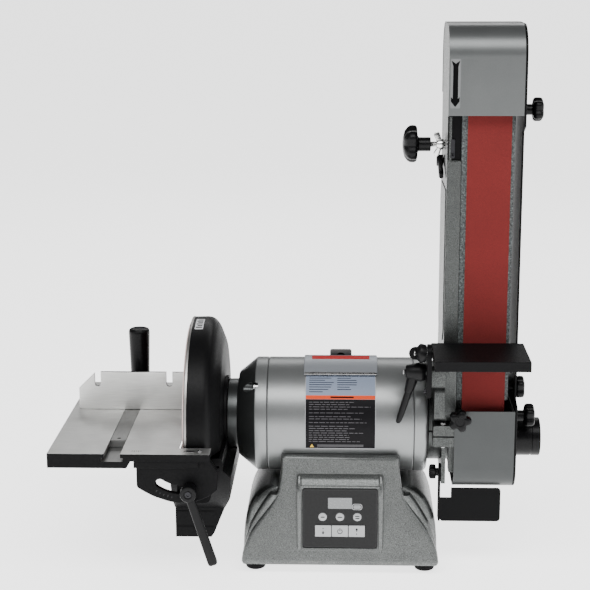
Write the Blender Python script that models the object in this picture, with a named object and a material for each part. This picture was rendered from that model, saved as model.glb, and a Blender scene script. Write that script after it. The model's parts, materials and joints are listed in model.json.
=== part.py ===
"""Belt and disc sander: a bench machine with a disc and tilting table on the left of a
motor, and an upright abrasive belt arm on its right.

Sizes are in millimetres, measured from the motor's axis in X and Y and from the bench in
Z. make_node turns them into metres and moves the frame to the middle of the footprint.
X runs towards the belt, Y away from the operator, Z up.
"""

import math

import bmesh
import bpy
from mathutils import Vector

MM = 0.001

# Motor and base
AXIS_Z = 178.0
BARREL_R = 70.5
BARREL_HALF = 89.0
BASE_HALF_WIDTH = 120.3
BASE_HALF_DEPTH = 92.0
BASE_BOTTOM = 12.8
BASE_TOP = 146.0
WALL = 6.0
GAP = 0.3
BOSS_R = 41.0
BOSS_END = 142.0
NECK_R = 43.0
NECK_END = -139.2

# Control panel
PANEL_HALF = 46.0
PANEL_LOW = 34.0
PANEL_HIGH = 110.6
PANEL_FACE = -88.5
BUTTON_PITCH = 21.0
BUTTON_Z = 74.4
BUTTON_R = 5.3
KEY_WIDTH = 20.4
KEY_LOW = 48.8
KEY_HIGH = 63.8

# Disc side
DISC_R = 114.3
DISC_FACE = -187.0
GUARD_R = 121.0
GUARD_RIM = -184.6
GUARD_SPLIT = 158.0
HOUSING_LEFT = -203.0
HOUSING_FOOT = 36.0
HOUSING_HALF = 62.0
EAR_END = 134.4
OUTLET_X = -178.0
OUTLET_Z = 55.0
CHUTE_TOP = 100.0

# Disc table
TABLE_TOP = 173.0
TABLE_LEFT = -342.0
TABLE_RIGHT = -151.5
TABLE_HALF = 149.0
TABLE_EDGE = -189.2
TABLE_THICK = 17.5
TABLE_THIN = 9.0
TILT_X = -185.5
TRUNNION_R = 62.0
TRUNNION_SLOT_R = 45.5
TRUNNION_INNER = 135.0
TRUNNION_OUTER = 143.0
LOCK_ANGLE = 12.0
TILT_RANGE = 45.0
SLOT_X = -265.5
SLOT_HALF = 9.6
SLOT_UNDERCUT = 3.4

# Mitre gauge
FENCE_FACE_Y = 25.0
FENCE_TOP = 222.5
HEAD_PIVOT_Y = 48.0
HANDLE_X = SLOT_X + 5.0
HANDLE_Y = 70.0
HANDLE_TOP = 268.5

# Belt side
BELT_LEFT = 145.6
BELT_WIDTH = 50.8
BELT_THICK = 1.0
DRIVE_R = 67.0
IDLER_R = 50.0
IDLER_Y = IDLER_R - DRIVE_R
IDLER_RISE = 425.0
IDLER_Z = AXIS_Z + IDLER_RISE
WHEEL_GAP = 0.4
ARM_LEFT = 122.5
COVER_FRONT = -80.0
COVER_BACK = 40.0
COVER_TOP = 661.0
COVER_RIGHT = 208.5
COVER_STEP = -62.0
COVER_R = 36.0
HOOD_LOW = 558.5
LOWER_COVER_LEFT = 136.6
LOWER_COVER_LOW = 104.5
LOWER_COVER_HIGH = 206.0
LOWER_COVER_R = 30.0
FRONT_KNOB = (141.2, 201.0)
SIDE_PLATE = 211.3
SHEET = 1.5
PORT_END = 248.5
PORT_R = 23.8
PORT_Y = 5.0
PORT_Z = 148.0
REST_PIVOT_Y = -95.0
REST_PIVOT_Z = 282.0
REST_LEVER_Y = -80.0
REST_LEVER_Z = 255.0
TRACKING_Y = -15.0
TRACKING_Z = 518.0
TENSION_Y = -2.0
TENSION_Z = 497.0
DEFLECTOR_Y = -52.0
DEFLECTOR_Z = 120.0
LEVER_FRONT = -163.0

# The frame's origin: the middle of the footprint's box, on the bench.
CENTRE_X = (TABLE_LEFT + PORT_END) / 2
CENTRE_Y = (LEVER_FRONT + TABLE_HALF) / 2

BIG_ROUND = 48
ROUND = 40
SMALL_ROUND = 16
AXES = {"X": (1, 2, 0), "Y": (0, 2, 1), "Z": (0, 1, 2)}


# ---------------------------------------------------------------- shapes


def placed(a, b, along, position):
    """A point from its two coordinates across an axis and its position along it."""
    first, second, third = AXES[along]
    point = [0.0, 0.0, 0.0]
    point[first] = a
    point[second] = b
    point[third] = position
    return point


def mesh_from(points, faces):
    mesh = bpy.data.meshes.new("solid")
    bm = bmesh.new()
    corners = [bm.verts.new(point) for point in points]
    for face in faces:
        bm.faces.new([corners[index] for index in face])
    bmesh.ops.recalc_face_normals(bm, faces=bm.faces)
    bm.to_mesh(mesh)
    bm.free()
    return mesh


def stacked(loops, along):
    """A solid through loops of equal length: each loop is (outline, position on the axis)."""
    count = len(loops[0][0])
    points = [placed(a, b, along, position) for outline, position in loops for a, b in outline]
    faces = [tuple(range(count)), tuple(range(len(points) - count, len(points)))]
    for level in range(len(loops) - 1):
        start = level * count
        for index in range(count):
            after = (index + 1) % count
            faces.append((start + index, start + after, start + count + after, start + count + index))
    return mesh_from(points, faces)


def prism(outline, along, low, high):
    return stacked([(outline, low), (outline, high)], along)


def block(x, y, z):
    """A box from its ranges along X, Y and Z."""
    return prism([(x[0], y[0]), (x[1], y[0]), (x[1], y[1]), (x[0], y[1])], "Z", z[0], z[1])


def turned(profile, along, centre, sides=ROUND):
    """A turned solid. The profile's points are (position on the axis, radius)."""
    points = []
    rings = []
    for position, radius in profile:
        if radius < 1e-6:
            rings.append([len(points)])
            points.append(placed(centre[0], centre[1], along, position))
            continue
        rings.append(list(range(len(points), len(points) + sides)))
        for a, b in circle(radius, sides, centre):
            points.append(placed(a, b, along, position))
    faces = []
    for ring, following in zip(rings, rings[1:] + rings[:1]):
        for index in range(sides):
            after = (index + 1) % sides
            if len(ring) == 1 and len(following) == 1:
                break
            if len(ring) == 1:
                faces.append((ring[0], following[after], following[index]))
            elif len(following) == 1:
                faces.append((ring[index], ring[after], following[0]))
            else:
                faces.append((ring[index], ring[after], following[after], following[index]))
    return mesh_from(points, faces)


def banded(inner, outer, along, low, high):
    """A closed band between two outlines of equal length, such as a belt or a sheet."""
    count = len(inner)
    points = [placed(a, b, along, low) for a, b in inner + outer]
    points += [placed(a, b, along, high) for a, b in inner + outer]
    faces = []
    for index in range(count):
        after = (index + 1) % count
        low_in, low_out = index, count + index
        next_in, next_out = after, count + after
        top = 2 * count
        faces.append((low_in, next_in, next_out, low_out))
        faces.append((top + low_in, top + low_out, top + next_out, top + next_in))
        faces.append((low_in, top + low_in, top + next_in, next_in))
        faces.append((low_out, next_out, top + next_out, top + low_out))
    return mesh_from(points, faces)


def circle(radius, sides=SMALL_ROUND, centre=(0.0, 0.0)):
    turn = 2 * math.pi / sides
    return [
        (centre[0] + radius * math.cos(turn * i), centre[1] + radius * math.sin(turn * i))
        for i in range(sides)
    ]


def arc(centre, radius, start, end, steps):
    """Points on an arc, its angles in degrees from the first axis towards the second."""
    turn = math.radians(end - start) / steps
    first = math.radians(start)
    return [
        (centre[0] + radius * math.cos(first + turn * i), centre[1] + radius * math.sin(first + turn * i))
        for i in range(steps + 1)
    ]


def rounded(low, high, radius, steps=3):
    """A rectangle with round corners, from its low and high corners."""
    corners = (
        ((high[0] - radius, high[1] - radius), 0),
        ((low[0] + radius, high[1] - radius), 90),
        ((low[0] + radius, low[1] + radius), 180),
        ((high[0] - radius, low[1] + radius), 270),
    )
    return [point for centre, start in corners for point in arc(centre, radius, start, start + 90, steps)]


def star(radius, depth, lobes=5, steps=4):
    """The outline of a lobed knob."""
    count = lobes * steps
    outline = []
    for index in range(count):
        angle = 2 * math.pi * index / count
        reach = radius - depth * (1 - math.cos(lobes * angle)) / 2
        outline.append((reach * math.cos(angle), reach * math.sin(angle)))
    return outline


def moved(outline, centre):
    return [(a + centre[0], b + centre[1]) for a, b in outline]


def scaled(outline, factor):
    return [(a * factor, b * factor) for a, b in outline]


# ---------------------------------------------------------------- objects


def material(name, colour, roughness, metallic=0.0):
    """A Principled material, made once and then shared."""
    found = bpy.data.materials.get(name)
    if found:
        return found
    made = bpy.data.materials.new(name)
    made.use_nodes = True
    shader = made.node_tree.nodes["Principled BSDF"]
    shader.inputs["Base Color"].default_value = (*colour, 1.0)
    shader.inputs["Roughness"].default_value = roughness
    shader.inputs["Metallic"].default_value = metallic
    return made


def hammered_silver():
    return material("hammered_silver", (0.42, 0.43, 0.43), 0.38, 0.6)


def black_casting():
    return material("black_casting", (0.03, 0.03, 0.032), 0.45)


def black_plastic():
    return material("black_plastic", (0.02, 0.02, 0.02), 0.4)


def machined_steel():
    return material("machined_steel", (0.55, 0.55, 0.54), 0.3, 1.0)


def chrome():
    return material("chrome", (0.8, 0.8, 0.8), 0.1, 1.0)


def sheet_gray():
    return material("sheet_gray", (0.3, 0.31, 0.31), 0.4, 0.4)


def red_abrasive():
    return material("red_abrasive", (0.5, 0.08, 0.07), 0.95)


def black_rubber():
    return material("black_rubber", (0.02, 0.02, 0.02), 0.8)


def graphite():
    return material("graphite_pad", (0.2, 0.21, 0.21), 0.8)


def white_plastic():
    return material("white_plastic", (0.7, 0.7, 0.7), 0.4)


def winding_copper():
    return material("winding_copper", (0.45, 0.2, 0.1), 0.5, 0.7)


def make_node(name, mesh, finish, origin=(0.0, 0.0, 0.0)):
    """One named sub-part, its origin on its joint's axis where it moves."""
    start = Vector(origin)
    for vertex in mesh.vertices:
        vertex.co = (vertex.co - start) * MM
    mesh.name = name
    mesh.materials.append(finish)
    made = bpy.data.objects.new(name, mesh)
    made.location = (start - Vector((CENTRE_X, CENTRE_Y, 0.0))) * MM
    bpy.context.scene.collection.objects.link(made)
    mesh.shade_smooth()
    mesh.set_sharp_from_angle(angle=math.radians(32))
    return made


def combine(node, operation, mesh):
    """A Boolean with a hidden helper."""
    for vertex in mesh.vertices:
        vertex.co = (vertex.co - Vector((CENTRE_X, CENTRE_Y, 0.0))) * MM
    helper = bpy.data.objects.new(f"{node.name}_{operation.lower()}", mesh)
    bpy.context.scene.collection.objects.link(helper)
    helper.hide_render = True
    helper.display_type = "WIRE"
    modifier = node.modifiers.new(operation.title(), "BOOLEAN")
    modifier.operation = operation
    modifier.object = helper
    return node


def add(node, mesh):
    return combine(node, "UNION", mesh)


def cut(node, mesh):
    return combine(node, "DIFFERENCE", mesh)


def soften(node, width, segments=1):
    """A small bevel on the hard edges."""
    modifier = node.modifiers.new("Soften", "BEVEL")
    modifier.width = width * MM
    modifier.segments = segments
    modifier.limit_method = "ANGLE"
    modifier.angle_limit = math.radians(50)
    return node


def disc_x(radius, low, high, y, z, sides=SMALL_ROUND):
    """A round rod along X."""
    return prism(circle(radius, sides, (y, z)), "X", low, high)


def disc_y(radius, low, high, x, z, sides=SMALL_ROUND):
    """A round rod along Y."""
    return prism(circle(radius, sides, (x, z)), "Y", low, high)


def disc_z(radius, low, high, x, y, sides=SMALL_ROUND):
    """A round rod along Z."""
    return prism(circle(radius, sides, (x, y)), "Z", low, high)


# ---------------------------------------------------------------- base


def blend(low, high, value):
    """A smooth step from 0 to 1 between low and high."""
    share = min(max((value - low) / (high - low), 0.0), 1.0)
    return share * share * (3 - 2 * share)


def base_half_width(z):
    """The bell-shaped flare of the base's front: wide at the foot, straight at the top."""
    return BASE_HALF_WIDTH - 48.0 * blend(28.0, 132.0, z)


def base_plan(z, inset):
    """The base's outline at a height, with fuller shoulders behind its front face."""
    half = base_half_width(z) - inset
    depth = BASE_HALF_DEPTH - 20.0 * blend(BASE_BOTTOM, BASE_TOP, z) - inset
    shoulder = 13.0 * blend(55.0, 105.0, z) * (1 - blend(112.0, 122.0, z))
    corner = 10.0
    back = depth - 24.0
    quarter = arc((half - corner, depth - corner), corner, 90, 0, 4)
    side = [(half + 0.4 * shoulder, back), (half + shoulder, back - 12.0)]
    right_back = quarter + side
    right_front = [(x, -y) for x, y in reversed(right_back)]
    left_front = [(-x, -y) for x, y in right_back]
    left_back = [(-x, y) for x, y in reversed(right_back)]
    return right_back + right_front + left_front + left_back


def base_casting():
    heights = [BASE_BOTTOM, 20.0, 31.0, 47.0, 62.0, 77.0, 90.0, 102.0, 112.0, 122.0, 132.0, BASE_TOP]
    body = make_node(
        "base_casting",
        stacked([(base_plan(z, 1.5 if z == BASE_TOP else 0.0), z) for z in heights], "Z"),
        hammered_silver(),
    )
    surround = [(-90.0, 26.0), (-90.0, 112.0), (-76.0, 126.0), (-60.0, 126.0), (-60.0, 26.0)]
    add(body, prism(surround, "X", -51.0, 51.0))
    inside = [BASE_BOTTOM - 2.0, 31.0, 47.0, 62.0, 77.0, 90.0, 98.0]
    cut(body, stacked([(base_plan(max(z, BASE_BOTTOM), WALL), z) for z in inside], "Z"))
    cut(body, turned([(-160.0, 0.0), (-160.0, BARREL_R + 0.5), (160.0, BARREL_R + 0.5), (160.0, 0.0)],
                     "X", (0.0, AXIS_Z)))
    cut(body, block((-PANEL_HALF, PANEL_HALF), (-95.0, -85.2), (PANEL_LOW, PANEL_HIGH)))
    cut(body, block((-37.0, 37.0), (-90.0, -70.0), (38.0, 100.0)))
    cut(body, disc_y(9.2, 70.0, 100.0, 60.0, 45.0))
    return body


def rubber_feet():
    for side, x in (("left", -104.0), ("right", 104.0)):
        for end, y in (("front", -66.0), ("rear", 66.0)):
            foot = [(0.0, 0.0), (0.0, 11.8), (4.0, 13.3), (BASE_BOTTOM - GAP, 13.3), (BASE_BOTTOM - GAP, 0.0)]
            make_node(f"foot_{end}_{side}", turned(foot, "Z", (x, y), SMALL_ROUND), black_rubber())


def bottom_plate():
    plate = make_node(
        "bottom_plate",
        prism(rounded((-108.0, -82.0), (108.0, 82.0), 8.0), "Z", BASE_BOTTOM + 1.0, BASE_BOTTOM + 2.5),
        sheet_gray(),
    )
    return plate


def control_panel():
    panel = make_node(
        "control_panel",
        prism(rounded((-PANEL_HALF + GAP, PANEL_LOW + GAP), (PANEL_HALF - GAP, PANEL_HIGH - GAP), 3.0),
              "Y", PANEL_FACE, -85.5),
        black_plastic(),
    )
    cut(panel, block((-14.5, 14.5), (-89.5, -87.3), (84.8, 98.8)))
    for index in (-1, 0, 1):
        cut(panel, disc_y(BUTTON_R + 0.4, -90.0, -80.0, index * BUTTON_PITCH, BUTTON_Z))
        left = index * KEY_WIDTH - KEY_WIDTH / 2 + 0.3
        cut(panel, block((left, left + KEY_WIDTH - 0.6), (-90.0, -80.0), (KEY_LOW, KEY_HIGH)))
    return panel


def panel_buttons():
    for name, index in (("left", -1), ("centre", 0), ("right", 1)):
        x = index * BUTTON_PITCH
        cap = [(-90.0, 0.0), (-89.9, 3.6), (-89.2, BUTTON_R), (-84.0, BUTTON_R), (-84.0, 0.0)]
        make_node(f"button_{name}", turned(cap, "Y", (x, BUTTON_Z), SMALL_ROUND), white_plastic(),
                  (x, -87.0, BUTTON_Z))
    for name, index in (("slower", -1), ("power", 0), ("faster", 1)):
        x = index * KEY_WIDTH
        half = KEY_WIDTH / 2 - 0.6
        key = prism(rounded((x - half, KEY_LOW + 0.3), (x + half, KEY_HIGH - 0.3), 0.8, 1), "Y", -89.6, -84.0)
        make_node(f"key_{name}", key, white_plastic(), (x, -87.0, (KEY_LOW + KEY_HIGH) / 2))


def cord_gland():
    profile = [(84.0, 4.5), (84.0, 9.0), (94.0, 9.0), (94.0, 11.5), (100.0, 11.5), (112.0, 7.0), (112.0, 4.5)]
    make_node("cord_gland", turned(profile, "Y", (60.0, 45.0), SMALL_ROUND), black_plastic())


# ---------------------------------------------------------------- motor


def motor_housing():
    barrel = make_node(
        "motor_housing",
        turned([(-BARREL_HALF, 64.0), (-BARREL_HALF, BARREL_R), (BARREL_HALF, BARREL_R), (BARREL_HALF, 64.0)],
               "X", (0.0, AXIS_Z), BIG_ROUND),
        hammered_silver(),
    )
    tab = rounded((-13.5, AXIS_Z + 67.0), (13.5, 257.5), 2.0, 1)
    add(barrel, prism(tab, "Y", 12.0, 15.0))
    cut(barrel, disc_y(4.5, 8.0, 20.0, 0.0, 250.8))
    return barrel


def end_bells():
    left = [
        (-BARREL_HALF - GAP, BARREL_R), (-104.0, BARREL_R), (-126.0, 52.0), (-126.0, NECK_R),
        (NECK_END, NECK_R), (NECK_END, 12.0), (-136.0, 12.0), (-136.0, 23.8), (-121.0, 23.8),
        (-119.0, 46.0), (-101.0, 64.0), (-BARREL_HALF - GAP, 64.0),
    ]
    make_node("left_end_bell", turned(left, "X", (0.0, AXIS_Z), BIG_ROUND), hammered_silver())
    right = [
        (BARREL_HALF + GAP, BARREL_R), (102.0, BARREL_R), (106.0, 66.5), (106.0, BOSS_R), (BOSS_END, BOSS_R),
        (BOSS_END, 12.0), (138.8, 12.0), (138.8, 23.8), (124.0, 23.8), (124.0, 34.0), (101.0, 34.0),
        (101.0, 60.0), (98.0, 64.0), (BARREL_HALF + GAP, 64.0),
    ]
    make_node("right_end_bell", turned(right, "X", (0.0, AXIS_Z), BIG_ROUND), hammered_silver())


def bearings():
    for name, low in (("left_bearing", -135.7), ("right_bearing", 124.3)):
        ring = [(low, 10.0), (low, 23.5), (low + 14.0, 23.5), (low + 14.0, 10.0)]
        make_node(name, turned(ring, "X", (0.0, AXIS_Z), 24), machined_steel())


def stator():
    profile = [
        (-62.0, 46.0), (-62.0, 58.0), (-45.0, 58.0), (-45.0, 63.7), (45.0, 63.7), (45.0, 58.0),
        (62.0, 58.0), (62.0, 46.0), (45.0, 46.0), (45.0, 41.0), (-45.0, 41.0), (-45.0, 46.0),
    ]
    make_node("stator", turned(profile, "X", (0.0, AXIS_Z), 24), winding_copper())


def badge_plate():
    outer = arc((0.0, AXIS_Z), 74.0, 128.0, 82.0, 8)
    inner = arc((0.0, AXIS_Z), 70.9, 82.0, 128.0, 8)
    plate = make_node("badge_plate", prism(outer + inner, "X", -45.0, 45.0), machined_steel())
    return soften(plate, 0.8)


def arbor():
    centre = (0.0, AXIS_Z)
    shaft = [
        (-172.0, 0.0), (-172.0, 8.0), (-138.0, 8.0), (-138.0, 9.7), (-120.0, 9.7), (-120.0, 12.0),
        (120.0, 12.0), (120.0, 9.7), (140.0, 9.7), (140.0, 8.0), (202.0, 8.0), (202.0, 0.0),
    ]
    make_node("arbor_shaft", turned(shaft, "X", centre, 24), machined_steel(), (0.0, 0.0, AXIS_Z))
    core = [(-45.0, 12.3), (-45.0, 40.5), (45.0, 40.5), (45.0, 12.3)]
    make_node("rotor", turned(core, "X", centre, 24), machined_steel(), (0.0, 0.0, AXIS_Z))
    back = DISC_FACE + 1.6
    plate = [
        (back, 0.0), (back, 113.5), (back + 8.0, 113.5), (back + 8.0, 20.0), (-147.0, 20.0),
        (-147.0, 8.3), (-172.4, 8.3), (-172.4, 0.0),
    ]
    make_node("disc_plate", turned(plate, "X", centre, BIG_ROUND), machined_steel(), (0.0, 0.0, AXIS_Z))
    sheet = [(DISC_FACE, 0.0), (DISC_FACE, DISC_R), (DISC_FACE + 1.3, DISC_R), (DISC_FACE + 1.3, 0.0)]
    make_node("abrasive_disc", turned(sheet, "X", centre, BIG_ROUND), red_abrasive(), (0.0, 0.0, AXIS_Z))
    make_wheel("drive_wheel", DRIVE_R - WHEEL_GAP, centre, 8.0)


def make_wheel(name, radius, centre, rim):
    """A belt wheel: a rim, a web and a hub that is bored for its 16 mm shaft."""
    low = BELT_LEFT + 0.2
    high = BELT_LEFT + BELT_WIDTH - 0.2
    middle = (low + high) / 2
    profile = [
        (low, radius - rim), (low, radius), (high, radius), (high, radius - rim), (middle + 5.0, radius - rim),
        (middle + 5.0, 17.0), (high, 17.0), (high, 8.3), (low, 8.3), (low, 17.0), (middle - 5.0, 17.0),
        (middle - 5.0, radius - rim),
    ]
    origin = (middle, centre[0], centre[1])
    return make_node(name, turned(profile, "X", centre, 32), machined_steel(), origin)


# ---------------------------------------------------------------- disc side


def disc_guard():
    """A cast hood round the disc, above its table."""
    profile = [
        (GUARD_RIM, GUARD_R), (-164.0, GUARD_R), (-159.0, 119.3), (-154.8, 115.5), (-151.0, 109.5),
        (-147.6, 101.0), (-145.0, 95.0), (-143.6, 89.0), (-143.6, 47.0), (-139.5, 47.0), (-139.5, 25.0),
        (-147.6, 25.0), (-147.6, 87.0), (-149.0, 94.0), (-151.6, 101.0), (-154.9, 107.5), (-158.3, 112.5),
        (-162.0, 116.0), (-165.0, 117.0), (GUARD_RIM, 117.0),
    ]
    guard = make_node("disc_guard", turned(profile, "X", (0.0, AXIS_Z), BIG_ROUND), black_casting())
    cut(guard, block((-200.0, -120.0), (-140.0, 140.0), (20.0, GUARD_SPLIT)))
    return guard


def housing_front_outline(inset, low):
    """The lower housing from the disc's side: half a circle above a chute."""
    radius = GUARD_R - inset
    half = HOUSING_HALF - inset
    top = GUARD_SPLIT - GAP
    reach = math.degrees(math.asin((AXIS_Z - top) / radius))
    meet = math.degrees(math.acos(half / radius))
    right = arc((0.0, AXIS_Z), radius, -reach, -meet, 10)
    left = arc((0.0, AXIS_Z), radius, -180 + meet, -180 + reach, 10)
    return right + [(half, low), (-half, low)] + left


def housing_casting(name, extras, spare):
    """The casting under the table, less a spare height range: a half-round case above a chute."""
    outer = make_node(
        name,
        prism(housing_front_outline(0.0, HOUSING_FOOT), "X", HOUSING_LEFT, -126.0),
        black_casting(),
    )
    for extra in extras:
        add(outer, extra)
    behind = [(-139.5, 170.0), (-139.5, 141.0), (-130.0, 132.0), (-133.0, 97.0), (-155.0, 42.0),
              (-163.0, 30.0), (-100.0, 30.0), (-100.0, 170.0)]
    cut(outer, prism(behind, "Y", -160.0, 160.0))
    lip = [(-210.0, 128.0), (-199.0, 128.0), (-189.0, 141.0), (-187.0, 170.0), (-210.0, 170.0)]
    cut(outer, prism(lip, "Y", -160.0, 160.0))
    hollow = [(-199.0, 120.0), (-188.0, 136.0), (-188.0, 165.0), (-143.5, 165.0), (-143.5, 133.0),
              (-138.0, 126.0), (-138.5, 97.0), (-158.0, 48.0), (-160.0, 40.0), (-199.0, 40.0)]
    inner = prism(housing_front_outline(4.0, HOUSING_FOOT + 4.0), "X", HOUSING_LEFT + 4.0, -134.0)
    cavity = bpy.data.objects.new(f"{name}_cavity", inner)
    for vertex in inner.vertices:
        vertex.co = (vertex.co - Vector((CENTRE_X, CENTRE_Y, 0.0))) * MM
    bpy.context.scene.collection.objects.link(cavity)
    cavity.hide_render = True
    cavity.display_type = "WIRE"
    combine(cavity, "INTERSECT", prism(hollow, "Y", -160.0, 160.0))
    trim = outer.modifiers.new("Hollow", "BOOLEAN")
    trim.operation = "DIFFERENCE"
    trim.object = cavity
    cut(outer, block((-220.0, -110.0), (-140.0, 140.0), spare))
    return outer


def lower_housing():
    """The half-round case under the table, with an ear for each trunnion's bolt."""
    ears = []
    for side in (-1, 1):
        near, far = sorted((side * 103.0, side * EAR_END))
        ears.append(prism(rounded((-192.0, 108.0), (-152.0, 146.0), 6.0), "Y", near, far))
    case = housing_casting("lower_housing", ears, (20.0, CHUTE_TOP + GAP))
    cut(case, block((-199.0, -143.5), (-117.0, 117.0), (145.0, 170.0)))
    cut(case, disc_x(25.0, -150.0, -125.0, 0.0, AXIS_Z, 32))
    cut(case, disc_x(NECK_R + 2.0, -139.4, -120.0, 0.0, AXIS_Z, 32))
    lock_x, lock_z = lock_point()
    cut(case, disc_y(4.4, -140.0, -118.0, lock_x, lock_z))
    add(case, disc_y(3.9, 130.0, 146.0, lock_x, lock_z))
    return case


def dust_chute():
    """The tapering chute that closes the case's foot and leads the dust to its outlet."""
    chute = housing_casting("dust_chute", (), (CHUTE_TOP, 200.0))
    cut(chute, disc_y(13.2, 50.0, 70.0, OUTLET_X, OUTLET_Z, 24))
    return chute


def disc_dust_port():
    """The outlet on the back of the disc's chute."""
    near = HOUSING_HALF + GAP
    ring = [(near, 13.4), (near, 17.5), (near + 3.0, 17.5), (near + 3.0, 15.5), (92.0, 15.5), (92.0, 13.4)]
    make_node("disc_dust_port", turned(ring, "Y", (OUTLET_X, OUTLET_Z), 24), black_plastic())


def lock_point():
    """Where the table's lock bolt crosses the trunnion's slot, at rest."""
    angle = math.radians(LOCK_ANGLE)
    return (TILT_X + TRUNNION_SLOT_R * math.sin(angle), TABLE_TOP - TRUNNION_SLOT_R * math.cos(angle))


def disc_table():
    low = TABLE_TOP - TABLE_THICK
    thin = TABLE_TOP - TABLE_THIN
    left, right = SLOT_X - SLOT_HALF, SLOT_X + SLOT_HALF
    section = [
        (TABLE_LEFT, low), (TABLE_LEFT, TABLE_TOP), (left, TABLE_TOP), (left, 168.0),
        (left - SLOT_UNDERCUT, 168.0), (left - SLOT_UNDERCUT, 163.5), (right + SLOT_UNDERCUT, 163.5),
        (right + SLOT_UNDERCUT, 168.0), (right, 168.0), (right, TABLE_TOP), (TABLE_EDGE, TABLE_TOP),
        (TABLE_EDGE, TABLE_TOP - 1.0), (TABLE_EDGE - 9.5, thin), (-244.0, thin), (-249.0, low),
    ]
    table = make_node("disc_table", prism(section, "Y", -TABLE_HALF, TABLE_HALF), machined_steel(),
                      (TILT_X, 0.0, TABLE_TOP))
    for side in (-1, 1):
        near, far = sorted((side * 125.5, side * TABLE_HALF))
        add(table, block((TABLE_EDGE - 14.0, TABLE_RIGHT), (near, far), (thin, TABLE_TOP)))
    return table


def trunnion_outline():
    """A plate below the tilt axis: an upright left edge, then a curve about the axis."""
    curve = arc((TILT_X, TABLE_TOP), TRUNNION_R, -90.0 - 21.0, -90.0 + 42.0, 11)
    top = TABLE_TOP - TABLE_THIN - GAP
    left = [(-238.5, top), (-238.5, 131.5), (-237.3, 129.3), (-233.0, 126.9), (-225.5, 122.5), (-215.5, 117.7)]
    return left + curve + [(-143.0, 150.0), (-152.0, top)]


def trunnion_slot(inner, outer):
    """The cutter for the curved slot that the lock bolt slides in, with round ends."""
    half = 5.3
    spare = 1.0
    start = -90.0 + LOCK_ANGLE - TILT_RANGE - spare
    end = -90.0 + LOCK_ANGLE + spare
    centre = (TILT_X, TABLE_TOP)
    outside = arc(centre, TRUNNION_SLOT_R + half, start, end, 12)
    inside = arc(centre, TRUNNION_SLOT_R - half, end, start, 12)
    right_end = arc(centre, TRUNNION_SLOT_R, end, end + 1.0, 1)[0]
    left_end = arc(centre, TRUNNION_SLOT_R, start, start + 1.0, 1)[0]
    round_right = arc(right_end, half, end, end + 180.0, 6)[1:-1]
    round_left = arc(left_end, half, start + 180.0, start + 360.0, 6)[1:-1]
    return prism(outside + round_right + inside + round_left, "Y", inner, outer)


def trunnions():
    flange = ((-241.0, -165.0), (155.0, TABLE_TOP - TABLE_THIN - GAP))
    for name, side in (("front_trunnion", -1), ("rear_trunnion", 1)):
        near, far = sorted((side * TRUNNION_INNER, side * TRUNNION_OUTER))
        plate = make_node(name, prism(trunnion_outline(), "Y", near, far), black_casting(),
                          (TILT_X, 0.0, TABLE_TOP))
        cut(plate, trunnion_slot(near - 2.0, far + 2.0))
        low, high = sorted((side * (TRUNNION_OUTER - 4.0), side * (TRUNNION_OUTER + 4.0)))
        add(plate, block(flange[0], (low, high), flange[1]))


def table_lock_lever():
    lock_x, lock_z = lock_point()
    lever = make_node("table_lock_lever", disc_y(9.6, LEVER_FRONT, -150.5, lock_x, lock_z),
                      black_casting(), (lock_x, LEVER_FRONT, lock_z))
    reach = 90.0
    lean = math.radians(-72.5)
    along = (math.cos(lean), math.sin(lean))
    across = (-along[1], along[0])
    corners = ((0.0, 5.2), (reach, 5.6), (reach + 3.0, 3.0), (reach + 3.0, -3.0), (reach, -5.6), (0.0, -5.2))
    handle = [
        (lock_x + along[0] * far + across[0] * side, lock_z + along[1] * far + across[1] * side)
        for far, side in corners
    ]
    add(lever, prism(handle, "Y", LEVER_FRONT + 1.5, -153.5))
    add(lever, disc_y(8.0, -152.0, TRUNNION_OUTER * -1 - 0.5, lock_x, lock_z))
    add(lever, disc_y(4.0, -145.0, -119.0, lock_x, lock_z))
    return lever


# ---------------------------------------------------------------- mitre gauge


def miter_gauge():
    half = SLOT_HALF - GAP
    wide = SLOT_HALF + SLOT_UNDERCUT - GAP
    section = [
        (SLOT_X - wide, 163.9), (SLOT_X + wide, 163.9), (SLOT_X + wide, 167.6), (SLOT_X + half, 167.6),
        (SLOT_X + half, 172.9), (SLOT_X - half, 172.9), (SLOT_X - half, 167.6), (SLOT_X - wide, 167.6),
    ]
    pivot = (SLOT_X, HEAD_PIVOT_Y, TABLE_TOP)
    bar = make_node("miter_bar", prism(section, "Y", -97.0, 100.0), machined_steel(), pivot)
    cut(bar, disc_z(2.2, 168.0, 180.0, SLOT_X, -90.0))
    behind = FENCE_FACE_Y + 4.0 + GAP
    sweep = arc((SLOT_X, 45.0), 48.0, 0.0, 180.0, 18)
    plan = [(SLOT_X - 45.0, behind), (SLOT_X + 45.0, behind)] + sweep
    head = make_node("miter_head", prism(plan, "Z", TABLE_TOP + GAP, 179.4), machined_steel(), pivot)
    add(head, block((SLOT_X - 40.0, SLOT_X + 40.0), (behind, behind + 5.0), (177.0, 206.0)))
    miter_fence(pivot)
    grip = [(179.8, 0.0), (179.8, 9.5), (184.0, 11.0), (HANDLE_TOP - 4.0, 13.6), (HANDLE_TOP, 12.6),
            (HANDLE_TOP, 0.0)]
    make_node("miter_handle", turned(grip, "Z", (HANDLE_X, HANDLE_Y), 28), black_plastic(),
              (HANDLE_X, HANDLE_Y, 180.0))


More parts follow.
